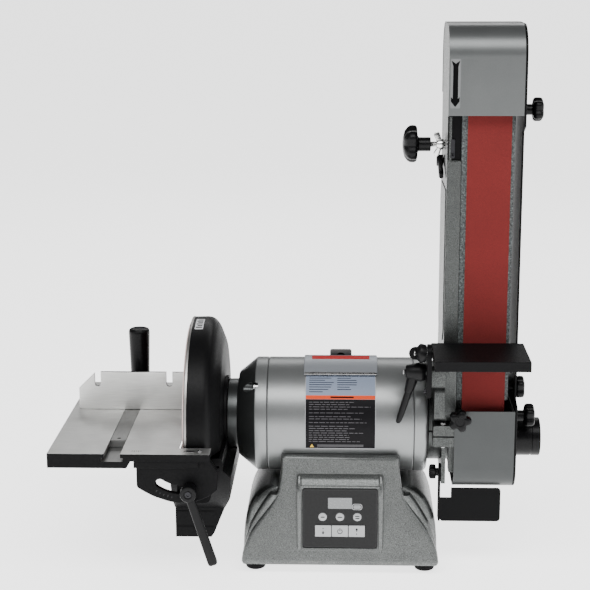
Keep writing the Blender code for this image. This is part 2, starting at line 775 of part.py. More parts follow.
def miter_fence(pivot):
    left, right = SLOT_X - 67.5, SLOT_X + 72.5
    low = TABLE_TOP + GAP + 0.1
    outline = [(left, low), (right, low), (right, FENCE_TOP), (left + 22.0, FENCE_TOP), (left, 201.0)]
    fence = make_node("miter_fence", prism(outline, "Y", FENCE_FACE_Y, FENCE_FACE_Y + 4.0),
                      machined_steel(), pivot)
    for offset in (-43.3, 48.0):
        x = SLOT_X + offset
        notch = arc((x, 207.5), 3.8, 180.0, 360.0, 8) + [(x + 3.8, 230.0), (x - 3.8, 230.0)]
        cut(fence, prism(notch, "Y", FENCE_FACE_Y - 3.0, FENCE_FACE_Y + 8.0))
    return fence


# ---------------------------------------------------------------- belt arm


def belt_loop(grow):
    """The belt's path round its two wheels, grown outwards; the front run is upright."""
    tilt = math.degrees(2 * math.atan2(DRIVE_R - IDLER_R, IDLER_RISE))
    lower = arc((0.0, AXIS_Z), DRIVE_R + grow, 180.0, 360.0 + tilt, 30)
    upper = arc((IDLER_Y, IDLER_Z), IDLER_R + grow, tilt, 180.0, 26)
    return lower + upper


def sanding_belt():
    band = banded(belt_loop(0.0), belt_loop(BELT_THICK), "X", BELT_LEFT, BELT_LEFT + BELT_WIDTH)
    make_node("sanding_belt", band, red_abrasive())


def hood_path(inset):
    """The hood's outline from its front edge, over the top, to its back edge."""
    radius = COVER_R - inset
    front, back, top = COVER_FRONT + inset, COVER_BACK - inset, COVER_TOP - inset
    over_front = arc((front + radius, top - radius), radius, 180.0, 90.0, 8)
    over_back = arc((back - radius, top - radius), radius, 90.0, 0.0, 8)
    return [(front, HOOD_LOW)] + over_front + over_back + [(back, 575.0)]


def top_cover():
    outline = hood_path(0.0) + list(reversed(hood_path(SHEET)))
    return make_node("top_cover", prism(outline, "X", ARM_LEFT - 0.5, COVER_RIGHT), sheet_gray())


def lower_path(inset):
    """The lower cover's outline from its front edge, under the drive wheel, to its back."""
    radius = LOWER_COVER_R - inset
    reach, low = -COVER_FRONT - inset, LOWER_COVER_LOW + inset
    under_front = arc((-reach + radius, low + radius), radius, 180.0, 270.0, 7)
    under_back = arc((reach - radius, low + radius), radius, 270.0, 360.0, 7)
    return [(-reach, LOWER_COVER_HIGH)] + under_front + under_back + [(reach, LOWER_COVER_HIGH)]


def bottom_cover():
    outline = lower_path(0.0) + list(reversed(lower_path(SHEET)))
    cover = make_node("bottom_cover", prism(outline, "X", LOWER_COVER_LEFT, COVER_RIGHT), sheet_gray())
    add(cover, prism(lower_path(SHEET / 2), "X", COVER_RIGHT - 2.0, COVER_RIGHT - 0.4))
    cut(cover, disc_x(21.0, 200.0, 215.0, PORT_Y, PORT_Z, 28))
    cut(cover, disc_x(3.6, 200.0, 215.0, -30.0, 186.0))
    cut(cover, disc_y(3.4, -85.0, -70.0, *FRONT_KNOB))
    return cover


def side_cover():
    front = arc((COVER_FRONT + COVER_R, COVER_TOP - COVER_R), COVER_R, 180.0, 90.0, 8)
    back = arc((COVER_BACK - COVER_R, COVER_TOP - COVER_R), COVER_R, 90.0, 0.0, 8)
    reach = -COVER_FRONT
    foot = LOWER_COVER_LOW + LOWER_COVER_R
    under_back = arc((reach - LOWER_COVER_R, foot), LOWER_COVER_R, 0.0, -90.0, 6)
    under_front = arc((-reach + LOWER_COVER_R, foot), LOWER_COVER_R, -90.0, -180.0, 6)
    belt_front = [(COVER_FRONT, 212.0), (COVER_STEP, 216.0), (COVER_STEP, 538.0), (COVER_FRONT, 546.0)]
    outline = belt_front + front + back + [(COVER_BACK, 600.0), (reach, 190.0)] + under_back + under_front
    cover = make_node("side_cover", prism(outline, "X", COVER_RIGHT + GAP, SIDE_PLATE), black_casting())
    cut(cover, disc_x(21.0, 200.0, 215.0, PORT_Y, PORT_Z, 28))
    for y, z in side_knob_places():
        cut(cover, disc_x(3.6, 200.0, 215.0, y, z))
    return cover


def side_knob_places():
    """Where the three knobs hold the side cover: upper, middle and lower."""
    return ((16.0, 556.0), (-50.0, 228.0), (-30.0, 186.0))


def dust_port():
    low = SIDE_PLATE + GAP
    ring = [(low, 21.2), (low, 28.0), (low + 3.0, 28.0), (low + 3.0, PORT_R), (PORT_END, PORT_R),
            (PORT_END, 21.2)]
    return make_node("dust_port", turned(ring, "X", (PORT_Y, PORT_Z), 32), black_plastic())


def arm_web_outline():
    """The side web of the arm, inside the hood at the top and round the boss at the foot."""
    inset = 1.9
    radius = COVER_R - inset
    front, back, top = COVER_FRONT + inset, COVER_BACK - inset, COVER_TOP - inset
    over_front = arc((front + radius, top - radius), radius, 180.0, 90.0, 6)
    over_back = arc((back - radius, top - radius), radius, 90.0, 0.0, 6)
    foot = [(52.0, 215.0), (60.0, 195.0), (60.0, 150.0), (38.0, 122.0), (-38.0, 110.0), (-66.0, 110.0)]
    return [(-66.0, 556.0), (front, 560.0)] + over_front + over_back + [(back, 300.0)] + foot


def arm_frame():
    frame = make_node("arm_frame", prism(arm_web_outline(), "X", ARM_LEFT, ARM_LEFT + 5.0),
                      hammered_silver(), (115.0, 0.0, AXIS_Z))
    add(frame, disc_x(56.0, 107.5, 133.0, 0.0, AXIS_Z, ROUND))
    add(frame, block((111.5, 137.0), (-78.0, -45.0), (160.5, 187.0)))
    add(frame, block((126.0, 144.5), (-59.6, -50.0), (192.0, 505.0)))
    add(frame, block((140.0, 200.5), (-59.6, -52.0), (262.0, 505.0)))
    add(frame, block((126.5, 138.5), (-65.0, -52.0), (112.5, 165.0)))
    add(frame, prism(rounded((-90.0, 236.0), (-55.0, 264.0), 6.0, 2), "X", 108.0, 124.0))
    add(frame, prism(rounded((-80.0, 192.0), (-57.0, 238.0), 9.0, 2), "X", 112.0, 124.5))
    upper, middle = side_knob_places()[:2]
    add(frame, disc_x(5.0, 126.0, 139.0, *upper))
    add(frame, disc_x(3.0, 138.0, 200.0, *upper))
    add(frame, disc_x(5.0, 199.0, 208.2, *upper))
    add(frame, disc_x(3.8, 126.0, 208.2, *middle))
    cut(frame, disc_x(BOSS_R + 0.3, 100.0, 150.0, 0.0, AXIS_Z, ROUND))
    cut(frame, block((100.0, 140.0), (-90.0, -30.0), (172.3, 174.3)))
    cut(frame, disc_x(4.4, 100.0, 121.0, REST_LEVER_Y, REST_LEVER_Z))
    cut(frame, disc_x(6.0, 115.0, 130.0, TRACKING_Y, TRACKING_Z))
    cut(frame, disc_x(3.9, 115.0, 130.0, TENSION_Y, TENSION_Z))
    cut(frame, disc_x(3.4, 119.0, 130.0, DEFLECTOR_Y, DEFLECTOR_Z))
    return frame


def platen():
    plate = make_node("platen", block((139.0, 200.5), (-66.5, -60.0), (216.0, 562.0)), graphite())
    return soften(plate, 0.8)


def tensioner():
    """The upright slide that carries the idler's axle."""
    slide = make_node("idler_bracket", block((129.0, 135.0), (-45.0, 10.0), (504.0, 628.0)),
                      machined_steel(), (132.0, IDLER_Y, IDLER_Z))
    add(slide, disc_x(8.0, 130.0, 203.0, IDLER_Y, IDLER_Z))
    make_wheel("idler_wheel", IDLER_R - WHEEL_GAP, (IDLER_Y, IDLER_Z), 7.0)


def tension_lever():
    lever = make_node("tension_lever", disc_x(7.0, 114.0, 122.0, TENSION_Y, TENSION_Z), black_plastic(),
                      (118.0, TENSION_Y, TENSION_Z))
    grip = [(TENSION_Y - 5.0, TENSION_Z + 3.0), (TENSION_Y - 34.0, TENSION_Z - 12.0),
            (TENSION_Y - 32.0, TENSION_Z - 19.0), (TENSION_Y + 3.0, TENSION_Z - 5.0)]
    add(lever, prism(grip, "X", 115.0, 121.0))
    add(lever, disc_x(3.5, 120.0, 128.0, TENSION_Y, TENSION_Z))
    return lever


def tracking_controls():
    centre = (TRACKING_Y, TRACKING_Z)
    outline = star(23.0, 5.0)
    loops = [
        (moved(scaled(outline, 0.30), centre), 72.4), (moved(scaled(outline, 0.80), centre), 75.6),
        (moved(outline, centre), 82.0), (moved(outline, centre), 87.0),
        (moved(scaled(outline, 0.85), centre), 90.5), (circle(8.5, len(outline), centre), 90.6),
        (circle(8.5, len(outline), centre), 106.0), (circle(3.2, len(outline), centre), 106.1),
        (circle(3.2, len(outline), centre), 128.5),
    ]
    make_node("tracking_knob", stacked(loops, "X"), black_plastic(), (90.0, TRACKING_Y, TRACKING_Z))
    nut = make_node("wing_nut", disc_x(6.5, 112.5, 121.5, TRACKING_Y, TRACKING_Z), chrome(),
                    (117.0, TRACKING_Y, TRACKING_Z))
    for side in (-1, 1):
        wing = [(-15.0, 8.0), (-10.0, 14.0), (-5.0, 14.5), (2.0, 8.0), (5.0, 3.0), (-3.0, 3.0)]
        outline = [(118.0 + a * 0.5, TRACKING_Z + side * b) for a, b in wing]
        add(nut, prism(outline, "Y", TRACKING_Y - 1.6, TRACKING_Y + 1.6))
    cut(nut, disc_x(3.6, 100.0, 130.0, TRACKING_Y, TRACKING_Z))


def star_knob(name, along, start, direction, centre, origin, outline, neck):
    """A five-lobed knob with a neck and a stud, pointing away from what it clamps."""
    count = len(outline)
    steps = (
        (circle(3.0, count), -2.6), (circle(3.0, count), 0.5), (circle(6.8, count), 0.6),
        (circle(6.8, count), neck), (scaled(outline, 0.85), neck + 1.4), (outline, neck + 4.4),
        (outline, neck + 9.4), (scaled(outline, 0.72), neck + 13.4),
    )
    loops = [(moved(shape, centre), start + direction * reach) for shape, reach in steps]
    return make_node(name, stacked(loops, along), black_plastic(), origin)


def cover_knobs():
    names = ("upper_cover_knob", "middle_cover_knob", "lower_cover_knob")
    for name, (y, z) in zip(names, side_knob_places()):
        start = SIDE_PLATE + GAP
        if name == "middle_cover_knob":
            outline = star(14.0, 3.0)
            count = len(outline)
            loops = [
                (moved(circle(3.0, count), (y, z)), start - 2.6), (moved(circle(3.0, count), (y, z)), start),
                (moved(scaled(outline, 0.8), (y, z)), start + 0.1), (moved(outline, (y, z)), start + 3.0),
                (moved(outline, (y, z)), start + 7.0), (moved(scaled(outline, 0.7), (y, z)), start + 10.0),
            ]
            make_node(name, stacked(loops, "X"), black_plastic(), (start, y, z))
            continue
        neck = 17.1 if name == "upper_cover_knob" else 12.6
        star_knob(name, "X", start, 1.0, (y, z), (start, y, z), star(14.9, 3.6), neck)
    x, z = FRONT_KNOB
    star_knob("front_cover_knob", "Y", COVER_FRONT - GAP, -1.0, FRONT_KNOB, (x, COVER_FRONT, z),
              star(13.9, 4.0), 12.6)


def rest_bracket():
    top = arc((REST_PIVOT_Y, REST_PIVOT_Z), 11.0, -20.0, 180.0, 10)
    outline = [(-72.0, 262.0)] + top + [(-106.0, 250.0), (-92.0, 226.0), (-72.0, 226.0)]
    bracket = make_node("rest_bracket", prism(outline, "X", 101.5, 107.2), black_casting())
    cut(bracket, disc_x(4.4, 95.0, 112.0, REST_PIVOT_Y, REST_PIVOT_Z))
    cut(bracket, disc_x(4.4, 95.0, 112.0, REST_LEVER_Y, REST_LEVER_Z))
    return bracket


def work_rest():
    plate = make_node("work_rest", block((107.5, 216.8), (-156.0, -71.0), (276.5, 288.5)), black_casting(),
                      (107.5, REST_PIVOT_Y, REST_PIVOT_Z))
    soften(plate, 1.2, 2)
    cut(plate, disc_x(4.4, 100.0, 120.0, REST_PIVOT_Y, REST_PIVOT_Z))
    return plate


def ratchet_lever(name, y, z, outer, stud_end, direction, lean):
    """A clamping lever: a tapered hub, a stud, and a handle that leans away from its hub."""
    inner = 101.2
    hub = [(outer, 0.0), (outer, 3.6), (outer + 3.0, 3.6), (outer + 3.1, 8.0), (inner - 9.0, 11.5),
           (inner, 10.0), (inner, 4.0), (stud_end, 4.0), (stud_end, 0.0)]
    lever = make_node(name, turned(hub, "X", (y, z), SMALL_ROUND), black_plastic(), (inner, y, z))
    loops = []
    angle = math.radians(direction)
    for reach, half in ((3.0, 7.5), (22.0, 6.0), (24.0, 4.8), (55.0, 4.4), (62.0, 3.4), (64.0, 1.6)):
        loops.append((reach, half))
    points = []
    sides = 10
    for reach, half in loops:
        middle = inner - 13.0 - lean * reach
        for a, b in circle(half, sides):
            points.append((middle + a, y + math.cos(angle) * reach - math.sin(angle) * b,
                           z + math.sin(angle) * reach + math.cos(angle) * b))
    faces = [tuple(range(sides)), tuple(range(len(points) - sides, len(points)))]
    for level in range(len(loops) - 1):
        start = level * sides
        for index in range(sides):
            after = (index + 1) % sides
            faces.append((start + index, start + after, start + sides + after, start + sides + index))
    add(lever, mesh_from(points, faces))
    return lever


def rest_levers():
    ratchet_lever("rest_tilt_lever", REST_PIVOT_Y, REST_PIVOT_Z, 86.0, 118.5, -16.0, -0.05)
    ratchet_lever("rest_bracket_lever", REST_LEVER_Y, REST_LEVER_Z, 74.0, 120.0, -90.0, 0.30)


def spark_deflector():
    outline = [(122.0, 62.0), (124.6, 59.4), (192.0, 59.4), (196.0, 63.4), (196.0, 99.0), (192.4, 102.8),
               (135.4, 102.8), (135.4, 90.0), (122.0, 90.0)]
    plate = make_node("spark_deflector", prism(outline, "Y", -61.0, -59.0), black_casting(),
                      (121.0, DEFLECTOR_Y, DEFLECTOR_Z))
    strap = [(-61.0, 59.4), (-44.0, 59.4), (-44.0, 128.0), (-50.0, 131.0), (-57.0, 131.0), (-61.0, 128.0)]
    add(plate, prism(strap, "X", 120.0, 122.2))
    cut(plate, disc_x(3.4, 110.0, 125.0, DEFLECTOR_Y, DEFLECTOR_Z))
    return plate


def deflector_knob():
    outline = star(9.5, 2.6)
    count = len(outline)
    centre = (DEFLECTOR_Y, DEFLECTOR_Z)
    loops = [
        (moved(scaled(outline, 0.6), centre), 108.5), (moved(outline, centre), 110.5),
        (moved(outline, centre), 115.5), (moved(scaled(outline, 0.7), centre), 117.0),
        (circle(5.0, count, centre), 117.1), (circle(5.0, count, centre), 119.7),
        (circle(3.0, count, centre), 119.8), (circle(3.0, count, centre), 127.0),
    ]
    make_node("deflector_knob", stacked(loops, "X"), black_plastic(), (115.0, DEFLECTOR_Y, DEFLECTOR_Z))


def clear_scene():
    for found in list(bpy.data.objects):
        bpy.data.objects.remove(found, do_unlink=True)


def build():
    clear_scene()
    base_casting()
    rubber_feet()
    bottom_plate()
    control_panel()
    panel_buttons()
    cord_gland()
    motor_housing()
    end_bells()
    bearings()
    stator()
    badge_plate()
    arbor()
    disc_guard()
    lower_housing()
    dust_chute()
    disc_dust_port()
    disc_table()
    trunnions()
    table_lock_lever()
    miter_gauge()
    arm_frame()
    platen()
    sanding_belt()
    top_cover()
    bottom_cover()
    side_cover()
    dust_port()
    tensioner()
    tension_lever()
    tracking_controls()
    cover_knobs()
    rest_bracket()
    work_rest()
    rest_levers()
    spark_deflector()
    deflector_knob()


build()
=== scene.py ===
"""The looks of the belt and disc sander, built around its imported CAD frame.

Shapes are given in millimetres, measured from the motor's axis in X and Y and from the
bench in Z. mesh_from turns them into the frame's metres.
"""

import json
import math
import random

import bmesh
import bpy
from mathutils import Matrix, Vector


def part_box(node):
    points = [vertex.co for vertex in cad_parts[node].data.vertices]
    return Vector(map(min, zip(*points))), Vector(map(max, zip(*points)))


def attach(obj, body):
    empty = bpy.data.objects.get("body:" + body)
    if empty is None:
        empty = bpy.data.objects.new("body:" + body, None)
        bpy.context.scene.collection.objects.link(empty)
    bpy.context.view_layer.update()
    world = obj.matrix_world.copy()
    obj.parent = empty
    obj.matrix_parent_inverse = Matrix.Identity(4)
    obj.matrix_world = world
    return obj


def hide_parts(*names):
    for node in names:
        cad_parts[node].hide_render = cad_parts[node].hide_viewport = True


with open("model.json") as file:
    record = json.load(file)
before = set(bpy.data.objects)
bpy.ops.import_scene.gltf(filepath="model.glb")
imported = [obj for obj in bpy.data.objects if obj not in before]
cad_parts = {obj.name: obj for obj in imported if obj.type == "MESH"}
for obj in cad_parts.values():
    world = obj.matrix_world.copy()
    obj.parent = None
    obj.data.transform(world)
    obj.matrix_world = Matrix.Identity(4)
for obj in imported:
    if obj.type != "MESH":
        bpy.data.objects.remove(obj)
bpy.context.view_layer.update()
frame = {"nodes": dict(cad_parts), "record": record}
RECORD = frame["record"]
NODE_BODY = {node: body for body, nodes in RECORD["behaviour"]["bodies"].items() for node in nodes}

MM = 0.001
MOTOR_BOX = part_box("motor_housing")
SHAFT_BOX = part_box("arbor_shaft")
SHIFT = Vector((
    (MOTOR_BOX[0].x + MOTOR_BOX[1].x) / 2,
    (SHAFT_BOX[0].y + SHAFT_BOX[1].y) / 2,
    0.0,
))
AXIS_Z = (SHAFT_BOX[0].z + SHAFT_BOX[1].z) / 2 / MM

BARREL_R = 70.5
BARREL_HALF = 89.0
PANEL_FACE = -88.5
BUTTON_Z = 74.4
KEY_WIDTH = 20.4
DISC_FACE = -187.0
GUARD_R = 121.0
GUARD_SPLIT = 158.0
HOUSING_HALF = 62.0
TABLE_TOP = 173.0
TABLE_HALF = 149.0
TILT_X = -185.5
SLOT_X = -265.5
HANDLE_X = -260.5
TABLE_LEFT = -342.0
LOCK_ANGLE = 12.0
LOCK_R = 45.5
LEVER_FRONT = -163.0
BELT_LEFT = 145.6
BELT_WIDTH = 50.8
DRIVE_R = 67.0
IDLER_R = 50.0
IDLER_Y = -17.0
IDLER_Z = 603.0
COVER_FRONT = -80.0
COVER_BACK = 40.0
COVER_TOP = 661.0
COVER_RIGHT = 208.5
SIDE_PLATE = 211.3
REST_Y = -95.0
REST_Z = 282.0
TRACKING_Y = -15.0
TRACKING_Z = 518.0
DISC_R = 114.3
KNOB_PLACES = ((16.0, 556.0), (-50.0, 228.0), (-30.0, 186.0))
FRONT_KNOB = (141.2, 201.0)
DUST_PORT = (5.0, 148.0)
DISC_PORT = (-178.0, 55.0)
GLAND = (60.0, 45.0)
BRACKET_PIVOT = (-80.0, 255.0)
TENSION_PIVOT = (-2.0, 497.0)
DEFLECTOR_PIVOT = (-52.0, 120.0)
BASE_LOW = 12.8
BASE_TOP = 146.0
TABLE_EDGE = -189.2
SLOT_FLOOR = 163.5
SLOT_SHELF = 168.0
TRUNNION_FACE = 143.0
TRUNNION_TOP = 163.7
HEAD_PIVOT_Y = 45.0
GAP = 0.3
FLOOR_HALF = 60.0
FLOOR_GLOW = 2.3
ROOM_LIGHT = 0.2
LAMP_TARGET = (0.0, 0.0, 0.28)
CAMERA_PLACE = (6.2, -1799.2, 745.2)
CAMERA_TURN = (13.0, 2.0, 0.2)
FOCAL_LENGTH = 1500.0
FRAME_WIDTH = 590.0
SENSOR_WIDTH = 36.0
AXES = {"X": (1, 2, 0), "Y": (0, 2, 1), "Z": (0, 1, 2)}

random.seed(7)


# ---------------------------------------------------------------- shapes


def placed(a, b, along, position):
    """A point from its two coordinates across an axis and its position along it."""
    first, second, third = AXES[along]
    point = [0.0, 0.0, 0.0]
    point[first] = a
    point[second] = b
    point[third] = position
    return point


def mesh_from(points, faces):
    mesh = bpy.data.meshes.new("solid")
    bm = bmesh.new()
    corners = [bm.verts.new(Vector(point) * MM + SHIFT) for point in points]
    for face in faces:
        bm.faces.new([corners[index] for index in face])
    bmesh.ops.recalc_face_normals(bm, faces=bm.faces)
    bm.to_mesh(mesh)
    bm.free()
    return mesh


def skinned(rings):
    """A closed solid through rings of 3-D points, all of one length."""
    count = len(rings[0])
    points = [point for ring in rings for point in ring]
    faces = [tuple(range(count)), tuple(range(len(points) - count, len(points)))]
    for level in range(len(rings) - 1):
        start = level * count
        for index in range(count):
            after = (index + 1) % count
            faces.append((start + index, start + after, start + count + after, start + count + index))
    return mesh_from(points, faces)


def stacked(loops, along):
    """A solid through loops: each is (outline, position on the axis)."""
    return skinned([[placed(a, b, along, position) for a, b in outline] for outline, position in loops])


def prism(outline, along, low, high):
    return stacked([(outline, low), (outline, high)], along)


def block(x, y, z):
    return prism([(x[0], y[0]), (x[1], y[0]), (x[1], y[1]), (x[0], y[1])], "Z", z[0], z[1])


def turned(profile, along, centre, sides=96):
    """A turned solid. The profile's points are (position on the axis, radius)."""
    points = []
    rings = []
    for position, radius in profile:
        if radius < 1e-6:
            rings.append([len(points)])
            points.append(placed(centre[0], centre[1], along, position))
            continue
        rings.append(list(range(len(points), len(points) + sides)))
        for a, b in circle(radius, sides, centre):
            points.append(placed(a, b, along, position))
    faces = []
    for ring, following in zip(rings, rings[1:] + rings[:1]):
        for index in range(sides):
            after = (index + 1) % sides
            if len(ring) == 1 and len(following) == 1:
                break
            if len(ring) == 1:
                faces.append((ring[0], following[after], following[index]))
            elif len(following) == 1:
                faces.append((ring[index], ring[after], following[0]))
            else:
                faces.append((ring[index], ring[after], following[after], following[index]))
    return mesh_from(points, faces)


def banded(inner, outer, along, low, high):
    """A closed band between two outlines of equal length, such as a belt."""
    count = len(inner)
    points = [placed(a, b, along, low) for a, b in inner + outer]
    points += [placed(a, b, along, high) for a, b in inner + outer]
    top = 2 * count
    faces = []
    for index in range(count):
        after = (index + 1) % count
        faces.append((index, after, count + after, count + index))
        faces.append((top + index, top + count + index, top + count + after, top + after))
        faces.append((index, top + index, top + after, after))
        faces.append((count + index, count + after, top + count + after, top + count + index))
    return mesh_from(points, faces)


def circle(radius, sides=48, centre=(0.0, 0.0)):
    turn = 2 * math.pi / sides
    return [
        (centre[0] + radius * math.cos(turn * i), centre[1] + radius * math.sin(turn * i))
        for i in range(sides)
    ]


def arc(centre, radius, start, end, steps):
    """Points on an arc, its angles in degrees from the first axis towards the second."""
    turn = math.radians(end - start) / steps
    first = math.radians(start)
    return [
        (centre[0] + radius * math.cos(first + turn * i), centre[1] + radius * math.sin(first + turn * i))
        for i in range(steps + 1)
    ]


def rounded(low, high, radius, steps=6):
    """A rectangle with round corners."""
    corners = (
        ((high[0] - radius, high[1] - radius), 0),
        ((low[0] + radius, high[1] - radius), 90),
        ((low[0] + radius, low[1] + radius), 180),
        ((high[0] - radius, low[1] + radius), 270),
    )
    return [point for centre, start in corners for point in arc(centre, radius, start, start + 90, steps)]


def star(radius, depth, lobes=5, steps=16):
    """The outline of a lobed knob."""
    count = lobes * steps
    outline = []
    for index in range(count):
        angle = 2 * math.pi * index / count
        dip = ((1 - math.cos(lobes * angle)) / 2) ** 1.5
        outline.append(((radius - depth * dip) * math.cos(angle), (radius - depth * dip) * math.sin(angle)))
    return outline


def tick(centre, radius, reach, degrees, half):
    """The outline of a thin mark that points to a centre."""
    turn = math.radians(degrees)
    along = (math.cos(turn), math.sin(turn))
    corners = ((radius, -half), (radius, half), (radius - reach, half), (radius - reach, -half))
    return [
        (centre[0] + along[0] * out - along[1] * wide, centre[1] + along[1] * out + along[0] * wide)
        for out, wide in corners
    ]


def sided(side, inner, outer):
    """A range on one side of the middle: side is -1 or 1."""
    return sorted((side * inner, side * outer))


def moved(outline, centre):
    return [(a + centre[0], b + centre[1]) for a, b in outline]


def scaled(outline, factor):
    return [(a * factor, b * factor) for a, b in outline]


def rod(along, radius, low, high, centre, sides=48):
    return prism(circle(radius, sides, centre), along, low, high)


# ---------------------------------------------------------------- objects


def raw(mesh):
    made = bpy.data.objects.new("raw", mesh)
    bpy.context.scene.collection.objects.link(made)
    return made


def bake(target):
    """Replaces the modifiers with the mesh that they make."""
    graph = bpy.context.evaluated_depsgraph_get()
    solid = bpy.data.meshes.new_from_object(target.evaluated_get(graph))
    target.modifiers.clear()
    target.data = solid
    return target


def combine(target, operation, meshes):
    helpers = [raw(mesh) for mesh in meshes]
    for helper in helpers:
        modifier = target.modifiers.new("Combine", "BOOLEAN")
        modifier.operation = operation
        modifier.object = helper
    bake(target)
    for helper in helpers:
        bpy.data.objects.remove(helper)
    return target


def carve(target, *meshes):
    return combine(target, "DIFFERENCE", meshes)


def unite(target, *meshes):
    return combine(target, "UNION", meshes)


def gather(*meshes):
    """Several closed shells in one object."""
    bm = bmesh.new()
    for mesh in meshes:
        bm.from_mesh(mesh)
    merged = bpy.data.meshes.new("gathered")
    bm.to_mesh(merged)
    bm.free()
    return raw(merged)


def finish(target, name, body, look, edge=0.0, steps=3, angle=35.0):
    """Rounds the edges, smooths the shading and sets the piece on its body."""
    target.name = name
    target.data.materials.clear()
    target.data.materials.append(look.material)
    target.data.shade_smooth()
    if edge:
        bevel = target.modifiers.new("Edges", "BEVEL")
        bevel.width = edge * MM
        bevel.segments = steps
        bevel.limit_method = "ANGLE"
        bevel.angle_limit = math.radians(angle)
        bevel.harden_normals = True
        bake(target)
    else:
        target.data.set_sharp_from_angle(angle=math.radians(angle))
    target.data.name = name
    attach(target, body)
    return target


def skin(target, node, look, edge=0.0, steps=3, angle=35.0, also=()):
    """A detailed piece in place of a CAD node, and of any others that also names."""
    finish(target, f"{node}_skin", NODE_BODY[node], look, edge, steps, angle)
    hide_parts(node, *also)
    return target


def trim(target, name, node, look, edge=0.0, steps=2, angle=35.0):
    """A small piece that rides with a CAD node."""
    return finish(target, name, NODE_BODY[node], look, edge, steps, angle)


def paint(target, look, test):
    """Gives another look to the faces that pass a test of their middle, in mm, and their normal."""
    target.data.materials.append(look.material)
    index = len(target.data.materials) - 1
    for face in target.data.polygons:
        if test((face.center - SHIFT) / MM, face.normal):
            face.material_index = index
    return target


# ---------------------------------------------------------------- looks


def linear(red, green, blue):
    """A colour from its 8-bit sRGB values."""
    values = []
    for value in (red, green, blue):
        share = value / 255
        values.append(share / 12.92 if share <= 0.04045 else ((share + 0.055) / 1.055) ** 2.4)
    return (*values, 1.0)


class Look:
    """A Principled material that is built up from procedural textures."""

    def __init__(self, name, colour, roughness, metallic=0.0, **sockets):
        self.material = bpy.data.materials.new(name)
        self.material.use_nodes = True
        self.nodes = self.material.node_tree.nodes
        self.links = self.material.node_tree.links
        self.shader = self.nodes["Principled BSDF"]
        self.shader.inputs["Base Color"].default_value = colour
        self.shader.inputs["Roughness"].default_value = roughness
        self.shader.inputs["Metallic"].default_value = metallic
        for socket, value in sockets.items():
            self.shader.inputs[socket.replace("_", " ")].default_value = value
        self.colour = colour
        self.place = self.nodes.new("ShaderNodeTexCoord").outputs["Object"]
        self.relief = None

    def texture(self, scale, stretch=(1, 1, 1), detail=3.0, cells=False):
        """A noise, or cells, whose size is 1/scale metres."""
        mapping = self.nodes.new("ShaderNodeMapping")
        mapping.inputs["Scale"].default_value = [scale * value for value in stretch]
        self.links.new(self.place, mapping.inputs["Vector"])
        node = self.nodes.new("ShaderNodeTexVoronoi" if cells else "ShaderNodeTexNoise")
        node.inputs["Scale"].default_value = 1.0
        node.inputs["Detail"].default_value = 0.0 if cells else detail
        if cells:
            node.feature = "SMOOTH_F1"
        self.links.new(mapping.outputs["Vector"], node.inputs["Vector"])
        return node.outputs["Distance" if cells else "Fac"]

    def tint(self, source, low, high, dark, light):
        """Multiplies the colour so far by grays from dark to light."""
        ramp = self.nodes.new("ShaderNodeValToRGB")
        for stop, place, gray in zip(ramp.color_ramp.elements, (low, high), (dark, light)):
            stop.position = place
            stop.color = (gray, gray, gray, 1)
        self.links.new(source, ramp.inputs["Fac"])
        mix = self.nodes.new("ShaderNodeMix")
        mix.data_type = "RGBA"
        mix.blend_type = "MULTIPLY"
        mix.inputs["Factor"].default_value = 1.0
        colour = self.shader.inputs["Base Color"]
        if colour.is_linked:
            self.links.new(colour.links[0].from_socket, mix.inputs["A"])
        else:
            mix.inputs["A"].default_value = self.colour
        self.links.new(ramp.outputs["Color"], mix.inputs["B"])
        self.links.new(mix.outputs["Result"], colour)
        return self

    def gloss(self, source, low, high):
        """Roughness from low to high along a texture."""
        span = self.nodes.new("ShaderNodeMapRange")
        span.inputs["From Min"].default_value = 0.3
        span.inputs["From Max"].default_value = 0.7
        span.inputs["To Min"].default_value = low
        span.inputs["To Max"].default_value = high
        self.links.new(source, span.inputs["Value"])
        self.links.new(span.outputs["Result"], self.shader.inputs["Roughness"])
        return self

    def bump(self, source, depth, strength=1.0):
        """Relief of a depth in millimetres."""
        node = self.nodes.new("ShaderNodeBump")
        node.inputs["Distance"].default_value = depth * MM
        node.inputs["Strength"].default_value = strength
        self.links.new(source, node.inputs["Height"])
        if self.relief:
            self.links.new(self.relief, node.inputs["Normal"])
        self.relief = node.outputs["Normal"]
        self.links.new(self.relief, self.shader.inputs["Normal"])
        return self


def hammered(name, colour, metallic=0.75, grain=0.16):
    """Silver enamel with a hammered skin and fine metal flakes."""
    look = Look(name, colour, 0.36, metallic)
    look.tint(look.texture(1500, detail=1.0), 0.36, 0.66, 1 - 2.2 * grain, 1 + 2.0 * grain)
    look.tint(look.texture(45, detail=3.0), 0.3, 0.7, 0.93, 1.05)
    look.gloss(look.texture(700, detail=2.0), 0.3, 0.5)
    look.bump(look.texture(420, cells=True), 0.10, 0.55)
    look.bump(look.texture(1300, detail=2.0), 0.05, 0.5)
    return look


def satin(name, colour, metallic=0.6, roughness=0.36):
    """Smooth silver paint with faint orange peel."""
    look = Look(name, colour, roughness, metallic)
    look.tint(look.texture(1800, detail=1.0), 0.3, 0.7, 0.93, 1.05)
    look.tint(look.texture(30, detail=3.0), 0.3, 0.7, 0.95, 1.04)
    look.gloss(look.texture(900, detail=2.0), roughness - 0.02, roughness + 0.03)
    look.bump(look.texture(900, detail=2.0), 0.004, 0.3)
    return look


